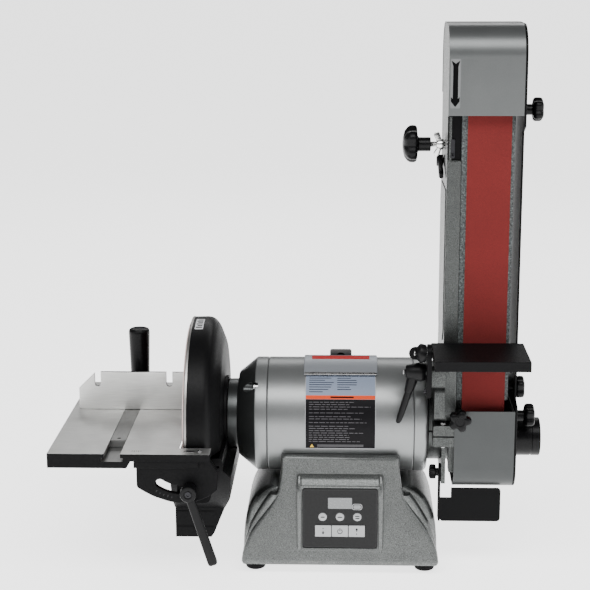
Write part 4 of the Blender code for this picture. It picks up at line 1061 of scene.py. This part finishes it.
def table():
    left, right = SLOT_X - 9.6, SLOT_X + 9.6
    low, thin = TABLE_TOP - 17.5, TABLE_TOP - 9.0
    section = [
        (TABLE_LEFT, low), (TABLE_LEFT, TABLE_TOP), (left, TABLE_TOP), (left, SLOT_SHELF),
        (left - 3.4, SLOT_SHELF), (left - 3.4, SLOT_FLOOR), (right + 3.4, SLOT_FLOOR),
        (right + 3.4, SLOT_SHELF), (right, SLOT_SHELF), (right, TABLE_TOP), (TABLE_EDGE, TABLE_TOP),
        (TABLE_EDGE, TABLE_TOP - 1.0), (-198.7, thin), (-244.0, thin), (-249.0, low),
    ]
    slab = raw(prism(section, "Y", -TABLE_HALF, TABLE_HALF))
    arms = []
    for side in (-1, 1):
        near, far = sided(side, 125.5, TABLE_HALF)
        arms.append(block((-203.0, -151.5), (near, far), (thin, TABLE_TOP)))
    unite(slab, *arms)
    skin(slab, "disc_table", CAST_BLACK, 0.45, 2)
    paint(slab, TABLE_STEEL, lambda at, normal: normal.z > 0.9 and at.z > TABLE_TOP - 0.4)
    paint(slab, BAR_STEEL, lambda at, normal: 163.0 < at.z < 172.5 and abs(at.x - SLOT_X) < 13.2
          and abs(at.y) < TABLE_HALF - 0.5)
    scale = []
    for step in range(-2, 3):
        x = -238.0 + step * 2.6
        scale.append(block((x - 0.3, x + 0.3), (-139.5 - (step % 2) * 1.4, -135.5), (172.9, 173.06)))
    trim(gather(*scale), "table_marks", "disc_table", INK)
    pointer = gather(
        block((-183.0, -170.0), (-141.5, -135.5), (172.9, 173.5)),
        screw_head(-164.0, -138.0, 172.9, 174.4, 2.6, "Z"),
    )
    trim(pointer, "table_index_plate", "disc_table", SCREW, 0.15)


def trunnion_slot():
    """The bolt's curved slot, with round ends."""
    centre = (TILT_X, TABLE_TOP)
    start, end, half = -124.0, -77.0, 5.2
    outside = arc(centre, LOCK_R + half, start, end, 40)
    inside = arc(centre, LOCK_R - half, end, start, 40)
    right_end = arc(centre, LOCK_R, end, end + 1.0, 1)[0]
    left_end = arc(centre, LOCK_R, start, start + 1.0, 1)[0]
    round_right = arc(right_end, half, end, end + 180.0, 14)[1:-1]
    round_left = arc(left_end, half, start + 180.0, start + 360.0, 14)[1:-1]
    return outside + round_right + inside + round_left


def trunnions():
    curve = arc((TILT_X, TABLE_TOP), 61.9, -111.0, -48.0, 44)
    top = TRUNNION_TOP
    left = [
        (-238.4, top), (-238.4, 133.0), (-237.9, 130.8), (-236.2, 129.0), (-233.0, 126.9), (-225.5, 122.6),
        (-220.6, 120.0), (-215.5, 117.8),
    ]
    outline = left + curve + [(-143.0, 150.0), (-152.0, top)]
    for node, side in (("front_trunnion", -1), ("rear_trunnion", 1)):
        near, far = sided(side, 135.0, TRUNNION_FACE)
        plate = raw(prism(outline, "Y", near, far))
        carve(plate, prism(trunnion_slot(), "Y", near - 2.0, far + 2.0))
        low, high = sided(side, 139.0, 146.9)
        unite(plate, block((-240.9, -165.1), (low, high), (155.1, top)))
        skin(plate, node, CAST_BLACK, 0.9, 3)
        low, high = sided(side, TRUNNION_FACE - 0.3, TRUNNION_FACE + 0.08)
        ticks = []
        for degrees in range(-122, -98, 5):
            reach = 3.0 if degrees % 15 == 13 else 1.8
            ticks.append(prism(tick((TILT_X, TABLE_TOP), 57.0, reach, degrees, 0.22), "Y", low, high))
        trim(gather(*ticks), f"{node}_scale", node, SCALE_MARK)


def lock_lever():
    lock_x, lock_z = lock_point()
    profile = [
        (-143.6, 0.0), (-143.6, 8.0), (-150.4, 8.0), (-150.6, 9.2), (-151.2, 9.6), (-161.8, 9.6),
        (-162.6, 9.0), (LEVER_FRONT + 0.1, 7.8), (LEVER_FRONT + 0.1, 5.2), (-161.6, 5.0), (-161.6, 0.0),
    ]
    lean = math.radians(-72.5)
    along = (math.cos(lean), math.sin(lean))
    across = (-along[1], along[0])
    rings = []
    stations = (
        (4.0, 4.9, 3.6), (14.0, 5.0, 3.8), (40.0, 5.2, 3.9), (74.0, 5.5, 4.0), (89.0, 5.6, 3.9),
        (91.6, 5.0, 3.3), (92.8, 3.6, 2.2),
    )
    for reach, half, deep in stations:
        ring = []
        for a, b in rounded((-half, -deep), (half, deep), min(half, deep) * 0.55, 5):
            ring.append((lock_x + along[0] * reach + across[0] * a, -157.4 + b,
                         lock_z + along[1] * reach + across[1] * a))
        rings.append(ring)
    lever = gather(turned(profile, "Y", (lock_x, lock_z), 64), skinned(rings),
                   rod("Y", 3.9, -144.5, -119.2, (lock_x, lock_z), 32))
    skin(lever, "table_lock_lever", LEVER_BLACK, angle=38.0)
    trim(raw(screw_head(lock_x, lock_z, -161.7, -162.8, 3.9, "Y")), "lock_lever_screw", "table_lock_lever",
         DARK_SCREW)


# ---------------------------------------------------------------- mitre gauge


def miter():
    half, wide = 9.3, 12.7
    section = [
        (SLOT_X - wide, 163.9), (SLOT_X + wide, 163.9), (SLOT_X + wide, 167.6), (SLOT_X + half, 167.6),
        (SLOT_X + half, 172.9), (SLOT_X - half, 172.9), (SLOT_X - half, 167.6), (SLOT_X - wide, 167.6),
    ]
    bar = raw(prism(section, "Y", -97.0, 100.0))
    carve(bar, rod("Z", 2.3, 169.0, 180.0, (SLOT_X, -90.0), 32))
    skin(bar, "miter_bar", BAR_STEEL, 0.35, 2)
    behind = 29.4
    plan = [(SLOT_X - 45.0, behind), (SLOT_X + 45.0, behind)]
    plan += arc((SLOT_X, HEAD_PIVOT_Y), 47.9, 0.0, 180.0, 48)
    head = raw(prism(plan, "Z", 173.4, 179.2))
    unite(head, block((SLOT_X - 40.0, SLOT_X + 40.0), (behind, 34.4), (177.0, 205.8)))
    skin(head, "miter_head", BAR_STEEL, 0.6, 3)
    ticks = []
    for degrees in range(20, 161, 5):
        reach = 5.0 if degrees % 15 == 0 else 3.0
        ticks.append(prism(tick((SLOT_X, HEAD_PIVOT_Y), 46.6, reach, degrees, 0.2), "Z", 179.0, 179.3))
    trim(gather(*ticks), "miter_scale", "miter_head", INK)
    left, right = SLOT_X - 67.5, SLOT_X + 72.5
    outline = [(left, 173.4), (right, 173.4), (right, 222.5), (left + 22.0, 222.5), (left, 201.0)]
    fence = raw(prism(outline, "Y", 25.0, 29.0))
    notches = []
    for offset in (-43.3, 48.0):
        x = SLOT_X + offset
        notch = arc((x, 207.5), 3.8, 180.0, 360.0, 18) + [(x + 3.8, 230.0), (x - 3.8, 230.0)]
        notches.append(prism(notch, "Y", 20.0, 34.0))
    carve(fence, *notches)
    skin(fence, "miter_fence", FENCE_STEEL, 0.4, 2)
    paint(fence, DARK_SCREW, lambda at, normal: abs(normal.y) < 0.5)
    screws = [screw_head(SLOT_X + x, 190.0, 34.3, 37.4, 4.0, "Y") for x in (-28.0, 28.0)]
    screws.append(screw_head(SLOT_X, 48.0, 179.0, 182.2, 4.6, "Z"))
    trim(gather(*screws), "miter_screws", "miter_head", SCREW)
    grip = [
        (180.0, 0.0), (180.0, 9.4), (181.0, 9.9), (183.6, 10.2), (184.4, 11.0), (186.0, 11.4), (225.0, 12.4),
        (262.6, 13.5), (265.2, 13.4), (267.2, 12.7), (268.2, 11.4), (268.4, 9.6), (267.6, 8.6), (267.6, 0.0),
    ]
    skin(raw(turned(grip, "Z", (HANDLE_X, 70.0), 72)), "miter_handle", MOULDED, angle=38.0)


# ---------------------------------------------------------------- belt arm


def belt_loop(grow, steps=64):
    tilt = math.degrees(2 * math.atan2(DRIVE_R - IDLER_R, 425.0))
    lower = arc((0.0, AXIS_Z), DRIVE_R + grow, 180.0, 360.0 + tilt, steps)
    upper = arc((IDLER_Y, IDLER_Z), IDLER_R + grow, tilt, 180.0, steps)
    return lower + upper


def belt():
    band = raw(banded(belt_loop(0.05), belt_loop(1.0), "X", BELT_LEFT, BELT_LEFT + BELT_WIDTH))
    skin(band, "sanding_belt", BELT, angle=30.0)
    cloth = plain("belt_cloth_back", linear(150, 120, 104), 0.85, 0.0, 1800, 0.05, 0.15)
    paint(band, cloth, faces_inward)


def faces_inward(at, normal):
    """Whether a face of the belt looks into its loop."""
    if abs(normal.x) > 0.5:
        return True
    middle = Vector((0.0, -8.0, min(max(at.z, AXIS_Z), IDLER_Z)))
    return normal.dot(Vector((0.0, at.y, at.z)) - middle) < 0


def platen():
    plate = raw(block((139.0, 200.5), (-66.5, -60.0), (216.0, 562.0)))
    skin(plate, "platen", GRAPHITE, 0.9, 3)
    steel = raw(block((139.4, 200.1), (-59.95, -58.4), (216.5, 561.5)))
    trim(steel, "platen_backing", "platen", BAR_STEEL, 0.3)


def hood_path(inset, low, back_low):
    radius = 36.0 - inset
    front, back, top = COVER_FRONT + inset, COVER_BACK - inset, COVER_TOP - inset
    over_front = arc((front + radius, top - radius), radius, 180.0, 90.0, 24)
    over_back = arc((back - radius, top - radius), radius, 90.0, 0.0, 24)
    return [(front, low)] + over_front + over_back + [(back, back_low)]


def covers():
    sheet = hood_path(0.0, 558.5, 575.0) + list(reversed(hood_path(1.5, 558.5, 575.0)))
    skin(raw(prism(sheet, "X", 122.0, COVER_RIGHT)), "top_cover", HOOD, 0.35, 2)
    arrow = [(129.5, 568.6), (134.4, 575.0), (134.4, 580.0), (132.4, 578.0), (132.4, 615.0), (134.4, 621.2),
             (129.5, 617.6), (124.6, 621.2), (126.6, 615.0), (126.6, 578.0), (124.6, 580.0), (124.6, 575.0)]
    decal = raw(prism(rounded((123.8, 567.2), (135.2, 623.0), 1.0), "Y", -80.12, -79.6))
    trim(decal, "arrow_ground", "top_cover", plain("decal_gray", linear(96, 97, 98), 0.6))
    trim(raw(prism(arrow, "Y", -80.26, -79.7)), "arrow_decal", "top_cover", INK)

    def lower_path(inset, steps=20):
        radius = 30.0 - inset
        reach, low = 80.0 - inset, 104.5 + inset
        front = arc((-reach + radius, low + radius), radius, 180.0, 270.0, steps)
        back = arc((reach - radius, low + radius), radius, 270.0, 360.0, steps)
        return [(-reach, 206.0)] + front + back + [(reach, 206.0)]

    tray = raw(prism(lower_path(0.0) + list(reversed(lower_path(1.5))), "X", 136.6, COVER_RIGHT))
    unite(tray, prism(lower_path(0.8), "X", COVER_RIGHT - 2.0, COVER_RIGHT - 0.4))
    carve(tray, rod("X", 21.2, 200.0, 215.0, DUST_PORT), rod("Y", 3.7, -85.0, -70.0, FRONT_KNOB, 24),
          rod("X", 3.7, 200.0, 215.0, (-30.0, 186.0), 24))
    # The bottom cover gets the darker copy of the hood paint as painted shade.
    skin(tray, "bottom_cover", BOTTOM_COVER_SHADE, 0.35, 2)

    front = arc((-44.0, 625.0), 35.9, 180.0, 90.0, 20)
    back = arc((4.0, 625.0), 35.9, 90.0, 0.0, 20)
    under_back = arc((50.0, 134.5), 29.9, 0.0, -90.0, 16)
    under_front = arc((-50.0, 134.5), 29.9, -90.0, -180.0, 16)
    step = [(-79.9, 212.0), (-62.0, 216.0), (-62.0, 538.0), (-79.9, 546.0)]
    outline = step + front + back + [(39.9, 600.0), (79.9, 190.0)] + under_back + under_front
    side = raw(prism(outline, "X", COVER_RIGHT + 0.3, SIDE_PLATE))
    carve(side, rod("X", 21.2, 200.0, 215.0, DUST_PORT),
          *[rod("X", 3.7, 200.0, 215.0, place, 24) for place in KNOB_PLACES])
    skin(side, "side_cover", SHEET_BLACK, 0.7, 3)
    low = SIDE_PLATE + 0.3
    ring = [
        (low, 21.4), (low, 27.6), (low + 0.5, 28.0), (low + 2.4, 28.0), (low + 3.0, 27.2), (low + 3.4, 24.6),
        (low + 4.4, 23.8), (236.0, 23.8), (236.6, 23.3), (238.0, 23.3), (238.6, 23.8), (247.8, 23.8),
        (248.4, 23.2), (248.4, 21.6),
    ]
    skin(raw(turned(ring, "X", DUST_PORT, 96)), "dust_port", MOULDED)
    heads = [screw_head(y, z, low + 2.0, low + 4.2, 1.9) for y, z in arc(DUST_PORT, 24.6, 45.0, 315.0, 3)]
    trim(gather(*heads), "dust_port_screws", "dust_port", DARK_SCREW)


def arm():
    front, back, top, radius = -78.1, 38.1, 659.1, 34.1
    over_front = arc((front + radius, top - radius), radius, 180.0, 90.0, 20)
    over_back = arc((back - radius, top - radius), radius, 90.0, 0.0, 20)
    foot = [(52.0, 215.0), (60.0, 195.0), (60.0, 150.0), (38.0, 122.0), (-38.0, 110.0), (-65.9, 110.0)]
    web = [(-65.9, 556.0), (front, 560.0)] + over_front + over_back + [(back, 300.0)] + foot
    column = raw(prism(web, "X", 122.6, 127.5))
    unite(
        column,
        rod("X", 55.9, 107.6, 132.9, (0.0, AXIS_Z), 96),
        prism(rounded((111.6, 160.6), (136.9, 186.9), 2.2), "Y", -77.9, -45.0),
        block((126.0, 144.5), (-59.6, -50.0), (192.0, 505.0)),
        block((124.0, 137.9), (-64.9, -52.5), (217.0, 505.5)),
        block((140.0, 200.5), (-58.2, -52.0), (262.0, 505.0)),
        prism(rounded((131.0, 124.0), (138.4, 165.0), 2.0), "Y", -65.0, -52.0),
        prism(rounded((-89.9, 236.1), (-55.0, 263.9), 7.0), "X", 108.1, 124.0),
        prism(rounded((-79.9, 192.1), (-57.0, 238.0), 10.0), "X", 112.1, 124.5),
        rod("X", 5.0, 126.0, 139.0, KNOB_PLACES[0], 32),
        rod("X", 3.0, 138.0, 200.0, KNOB_PLACES[0], 32),
        rod("X", 5.0, 199.0, 208.2, KNOB_PLACES[0], 32),
        rod("X", 3.8, 126.0, 208.2, KNOB_PLACES[1], 32),
    )
    carve(
        column,
        rod("X", 41.4, 100.0, 150.0, (0.0, AXIS_Z), 96),
        block((100.0, 140.0), (-90.0, -30.0), (172.4, 174.2)),
        rod("X", 4.5, 100.0, 121.0, BRACKET_PIVOT),
        rod("X", 6.0, 115.0, 130.0, (TRACKING_Y, TRACKING_Z)),
        rod("X", 3.9, 115.0, 130.0, TENSION_PIVOT),
        rod("X", 3.5, 119.0, 130.0, DEFLECTOR_PIVOT),
    )
    skin(column, "arm_frame", COLUMN, 1.0, 3, 42.0)
    paint(column, SHEET_BLACK, lambda at, normal: at.x > 139.2
          or at.z > 507.0 and at.x > 122.0 and abs(normal.x) < 0.9)
    strip = raw(prism([(123.2, 196.0), (139.2, 196.0), (139.2, 505.0), (123.2, 505.0)], "Y", -67.6, -64.0))
    trim(strip, "column_front_face", "arm_frame", COLUMN, 1.6, 4)
    recess = gather(
        block((123.0, 139.2), (-62.6, -57.5), (505.6, 558.0)),
        block((122.9, 124.4), (-66.4, -57.6), (506.0, 557.5)),
    )
    trim(recess, "tracking_window", "arm_frame", SHEET_BLACK, 0.3)
    tab = gather(
        prism(rounded((126.4, 508.0), (131.2, 530.0), 1.2), "Y", -66.0, -61.0),
        screw_head(128.8, 512.0, -65.8, -68.0, 1.9, "Y"),
    )
    trim(tab, "tracking_tab", "arm_frame", DARK_SCREW, 0.5)
    stiffener = raw(prism([(-58.0, 470.0), (-58.0, 300.0), (-45.0, 285.0), (20.0, 285.0), (28.0, 300.0),
                           (28.0, 450.0), (18.0, 470.0)], "X", 121.4, 122.8))
    trim(stiffener, "column_side_panel", "arm_frame", COLUMN, 1.2, 3)
    clamp = gather(
        screw_head(124.0, -70.0, 186.6, 189.4, 4.2, "Z"),
        screw_head(124.0, -70.0, 160.9, 158.2, 4.2, "Z"),
    )
    trim(clamp, "clamp_screws", "arm_frame", SCREW)


def knob(node, steps, centre, along="X", start=0.0, sign=1.0):
    """A moulded knob from outlines and how far each lies from its start."""
    loops = [(moved(shape, centre), start + sign * reach) for shape, reach in steps]
    skin(raw(stacked(loops, along)), node, MOULDED, angle=38.0)


def knob_profile(outline, longer=0.0):
    """The rings of a star knob: neck, lobes with a round edge, and a dished cap."""
    count = len(outline)
    steps = [
        (circle(3.0, count), -2.5), (circle(3.0, count), 0.4), (circle(6.4, count), 0.5),
        (circle(6.8, count), 1.0), (circle(6.6, count), 12.2), (scaled(outline, 0.62), 13.0),
        (scaled(outline, 0.86), 13.8), (scaled(outline, 0.97), 15.4), (outline, 17.2), (outline, 21.4),
        (scaled(outline, 0.975), 23.2),
        (scaled(outline, 0.9), 24.6), (scaled(outline, 0.74), 25.6), (scaled(outline, 0.56), 25.9),
        (circle(5.6, count), 25.7), (circle(5.2, count), 25.0),
    ]
    return [(shape, reach + (longer if reach > 5.0 else 0.0)) for shape, reach in steps]


def knobs():
    start = SIDE_PLATE + GAP
    upper, middle, lower = KNOB_PLACES
    outline = star(14.8, 3.6)
    knob("upper_cover_knob", knob_profile(outline, 4.5), upper, "X", start)
    knob("lower_cover_knob", knob_profile(outline), lower, "X", start)
    knob("front_cover_knob", knob_profile(star(13.8, 4.0)), FRONT_KNOB, "Y", COVER_FRONT - GAP, -1.0)
    low = star(13.9, 3.0)
    count = len(low)
    steps = [
        (circle(3.0, count), -2.5), (circle(3.0, count), 0.0), (scaled(low, 0.8), 0.1),
        (scaled(low, 0.97), 1.4), (low, 3.0), (low, 6.8), (scaled(low, 0.95), 8.6), (scaled(low, 0.8), 9.6),
        (circle(5.0, count), 9.9), (circle(4.8, count), 9.2),
    ]
    knob("middle_cover_knob", steps, middle, "X", start)
    small = star(9.4, 2.6)
    count = len(small)
    steps = [
        (circle(4.0, count), 109.0), (circle(4.4, count), 108.6), (scaled(small, 0.7), 108.7),
        (scaled(small, 0.95), 109.8), (small, 111.0), (small, 115.2), (scaled(small, 0.9), 116.6),
        (circle(5.0, count), 117.1), (circle(5.0, count), 119.6), (circle(3.0, count), 119.7),
        (circle(3.0, count), 126.9),
    ]
    knob("deflector_knob", steps, DEFLECTOR_PIVOT)


def tracking():
    centre = (TRACKING_Y, TRACKING_Z)
    outline = star(22.9, 5.0)
    count = len(outline)
    steps = [
        (scaled(outline, 0.1), 72.5), (scaled(outline, 0.4), 73.2), (scaled(outline, 0.7), 75.0),
        (scaled(outline, 0.9), 78.4), (scaled(outline, 0.985), 81.4), (outline, 83.4), (outline, 86.4),
        (scaled(outline, 0.97), 88.4), (scaled(outline, 0.88), 89.8), (scaled(outline, 0.6), 90.4),
        (circle(9.4, count), 91.0), (circle(8.4, count), 92.0), (circle(8.4, count), 105.2),
        (circle(7.8, count), 105.9), (circle(3.3, count), 106.0),
    ]
    knob("tracking_knob", steps, centre)
    shaft = [(105.0, 0.0), (105.0, 3.2)]
    for turn in range(22):
        x = 106.0 + turn
        shaft += [(x, 3.2), (x + 0.5, 2.8)]
    shaft += [(128.4, 3.0), (128.4, 0.0)]
    trim(raw(turned(shaft, "X", centre, 32)), "tracking_screw", "tracking_knob", CHROME,
         angle=50.0)
    hub = [
        (112.6, 3.5), (112.6, 5.0), (113.2, 5.6), (118.6, 6.4), (120.6, 6.4), (121.4, 5.8), (121.4, 3.5),
    ]
    stations = (
        (3.6, 113.6, 120.0, 2.3), (7.0, 111.6, 118.4, 1.9), (10.5, 109.6, 117.4, 1.6),
        (13.4, 110.6, 116.4, 1.4), (14.8, 112.6, 114.8, 0.8),
    )
    wings = []
    for side in (-1, 1):
        rings = []
        for reach, low, high, deep in stations:
            rings.append([(x, TRACKING_Y + y, TRACKING_Z + side * reach)
                          for x, y in rounded((low, -deep), (high, deep), deep * 0.8, 5)])
        wings.append(skinned(rings))
    skin(gather(turned(hub, "X", centre, 40), *wings), "wing_nut", CHROME, angle=42.0)
    spot = TENSION_PIVOT
    hub = [(114.1, 0.0), (114.1, 6.2), (114.8, 7.0), (121.2, 7.0), (121.9, 6.3), (121.9, 3.6), (127.8, 3.5),
           (127.8, 0.0)]
    stations = ((2.0, 6.2, 2.6), (14.0, 5.2, 2.7), (28.0, 4.4, 2.8), (35.0, 4.2, 2.8), (37.6, 3.2, 2.2))
    lean = math.radians(202.0)
    along = (math.cos(lean), math.sin(lean))
    rings = []
    for reach, half, deep in stations:
        rings.append([
            (118.0 + b, spot[0] + along[0] * reach - along[1] * a, spot[1] + along[1] * reach + along[0] * a)
            for a, b in rounded((-half, -deep), (half, deep), 1.8, 5)
        ])
    skin(gather(turned(hub, "X", spot, 40), skinned(rings)), "tension_lever", MOULDED, angle=40.0)


def clamping_lever(node, y, z, outer, stud, direction, lean):
    """A ratchet lever: a ribbed hub, a tapered stepped handle, a screw and a plated stud."""
    inner = 101.2
    hub = [
        (outer + 1.4, 0.0), (outer + 1.4, 2.4), (outer + 3.0, 3.2), (outer + 3.4, 7.2), (outer + 4.6, 8.4),
        (inner - 8.0, 11.2), (inner - 6.4, 11.5), (inner - 1.0, 10.2), (inner - 0.3, 9.4), (inner - 0.2, 4.0),
        (inner - 0.2, 0.0),
    ]
    stations = (
        (0.0, 7.8, 8.0), (10.0, 7.4, 7.0), (20.0, 6.4, 5.8), (23.4, 6.0, 5.2), (24.4, 4.9, 4.6),
        (40.0, 4.6, 4.3), (55.0, 4.4, 4.0), (61.0, 3.9, 3.4), (63.4, 2.4, 2.2),
    )
    rings = []
    angle = math.radians(direction)
    for reach, half, deep in stations:
        middle = inner - 13.0 - lean * reach
        ring = []
        for a, b in circle(1.0, 28):
            ring.append((middle + a * deep, y + math.cos(angle) * reach - math.sin(angle) * b * half,
                         z + math.sin(angle) * reach + math.cos(angle) * b * half))
        rings.append(ring)
    skin(gather(turned(hub, "X", (y, z), 56), skinned(rings)), node, LEVER_BLACK, angle=40.0)
    stud_piece = gather(rod("X", 3.9, inner - 0.4, stud - 0.1, (y, z), 32),
                        screw_head(y, z, outer + 1.6, outer + 0.1, 3.4))
    trim(stud_piece, f"{node}_stud", node, SCREW, 0.25)


def rest():
    top = arc((REST_Y, REST_Z), 10.9, -20.0, 180.0, 30)
    outline = [(-72.0, 262.0)] + top + [(-105.9, 250.0), (-92.0, 226.0), (-72.0, 226.0)]
    bracket = raw(prism(outline, "X", 101.6, 107.1))
    carve(bracket, *[rod("X", 4.5, 95.0, 112.0, pin, 32) for pin in ((REST_Y, REST_Z), BRACKET_PIVOT)])
    skin(bracket, "rest_bracket", SHEET_BLACK, 0.6, 3)
    bolt = screw_head(-82.0, 232.0, 101.8, 99.2, 3.2)
    trim(raw(bolt), "rest_bracket_screw", "rest_bracket", DARK_SCREW)
    plate = raw(block((107.6, 216.7), (-155.9, -71.1), (276.6, 288.4)))
    carve(plate, rod("X", 4.5, 100.0, 120.0, (REST_Y, REST_Z), 32))
    skin(plate, "work_rest", GUARD_BACK, 0.7, 3)
    clamping_lever("rest_tilt_lever", REST_Y, REST_Z, 86.0, 118.5, -16.0, -0.05)
    clamping_lever("rest_bracket_lever", *BRACKET_PIVOT, 74.0, 120.0, -90.0, 0.30)


def deflector():
    outline = [(122.1, 62.1), (124.7, 59.5), (192.0, 59.5), (194.8, 60.7), (195.9, 63.4), (195.9, 99.0),
               (194.8, 101.6), (192.4, 102.7), (135.5, 102.7), (135.5, 90.0), (122.1, 90.0)]
    plate = raw(prism(outline, "Y", -60.9, -59.1))
    strap = [(-60.9, 59.5), (-44.1, 59.5), (-44.1, 128.0), (-50.0, 130.9), (-57.0, 130.9), (-60.9, 128.0)]
    unite(plate, prism(strap, "X", 120.1, 122.3))
    carve(plate, rod("X", 3.5, 110.0, 125.0, DEFLECTOR_PIVOT, 32))
    skin(plate, "spark_deflector", SHEET_BLACK, 0.4, 2)


# ---------------------------------------------------------------- stage


def studio():
    """A pale floor, one broad softbox above the front, side softboxes and a dim room."""
    floor = bpy.data.meshes.new("floor")
    half = FLOOR_HALF
    corners = [(-half, -half, 0), (half, -half, 0), (half, half, 0), (-half, half, 0)]
    floor.from_pydata(corners, [], [(0, 1, 2, 3)])
    ground_piece = bpy.data.objects.new("floor", floor)
    bpy.context.scene.collection.objects.link(ground_piece)
    pale = Look("pale_floor", (0.9, 0.9, 0.9, 1.0), 0.85, Specular_IOR_Level=0.0)
    pale.tint(pale.texture(3.0, detail=2.0), 0.3, 0.7, 0.99, 1.0)
    pale.shader.inputs["Emission Color"].default_value = (1.0, 1.0, 1.0, 1.0)
    pale.shader.inputs["Emission Strength"].default_value = FLOOR_GLOW
    floor.materials.append(pale.material)
    world = bpy.data.worlds.new("studio")
    bpy.context.scene.world = world
    world.use_nodes = True
    sky = world.node_tree.nodes["Background"]
    sky.inputs["Color"].default_value = (1.0, 1.0, 1.0, 1.0)
    sky.inputs["Strength"].default_value = ROOM_LIGHT
    lamps = (
        ("softbox", (-0.1, -1.3, 2.0), (2.6, 0.9), 56.0),
        ("left_wall", (-2.4, -1.3, 1.1), (0.7, 1.8), 9.0),
        ("right_wall", (2.4, -1.1, 1.2), (0.8, 1.8), 20.0),
        ("back", (0.3, 2.2, 1.7), (2.4, 0.7), 16.0),
    )
    for name, spot, size, power in lamps:
        data = bpy.data.lights.new(name, "AREA")
        data.shape = "RECTANGLE"
        data.size = size[0]
        data.size_y = size[1]
        data.energy = power
        lamp = bpy.data.objects.new(name, data)
        lamp.location = spot
        aim = Vector(LAMP_TARGET) - Vector(spot)
        lamp.rotation_euler = aim.to_track_quat("-Z", "Y").to_euler()
        bpy.context.scene.collection.objects.link(lamp)


def camera():
    data = bpy.data.cameras.new("camera")
    data.sensor_width = SENSOR_WIDTH
    data.lens = FOCAL_LENGTH / FRAME_WIDTH * SENSOR_WIDTH
    view = bpy.data.objects.new("camera", data)
    bpy.context.scene.collection.objects.link(view)
    pitch, yaw, roll = map(math.radians, CAMERA_TURN)
    forward = Vector((-math.sin(yaw) * math.cos(pitch), math.cos(yaw) * math.cos(pitch), -math.sin(pitch)))
    right = Vector((math.cos(yaw), math.sin(yaw), 0.0))
    up = right.cross(forward)
    side = right * math.cos(roll) - up * math.sin(roll)
    top = up * math.cos(roll) + right * math.sin(roll)
    turn = Matrix((side, top, -forward)).transposed().to_4x4()
    turn.translation = Vector(CAMERA_PLACE) * MM + SHIFT
    view.matrix_world = turn
    bpy.context.scene.camera = view


def build():
    base_piece()
    feet()
    control_panel()
    buttons()
    keys()
    base_extras()
    motor()
    end_bells()
    badge()
    label()
    arbor()
    guard()
    housing()
    table()
    trunnions()
    lock_lever()
    miter()
    belt()
    platen()
    covers()
    arm()
    knobs()
    tracking()
    rest()
    deflector()
    camera()
    studio()


build()
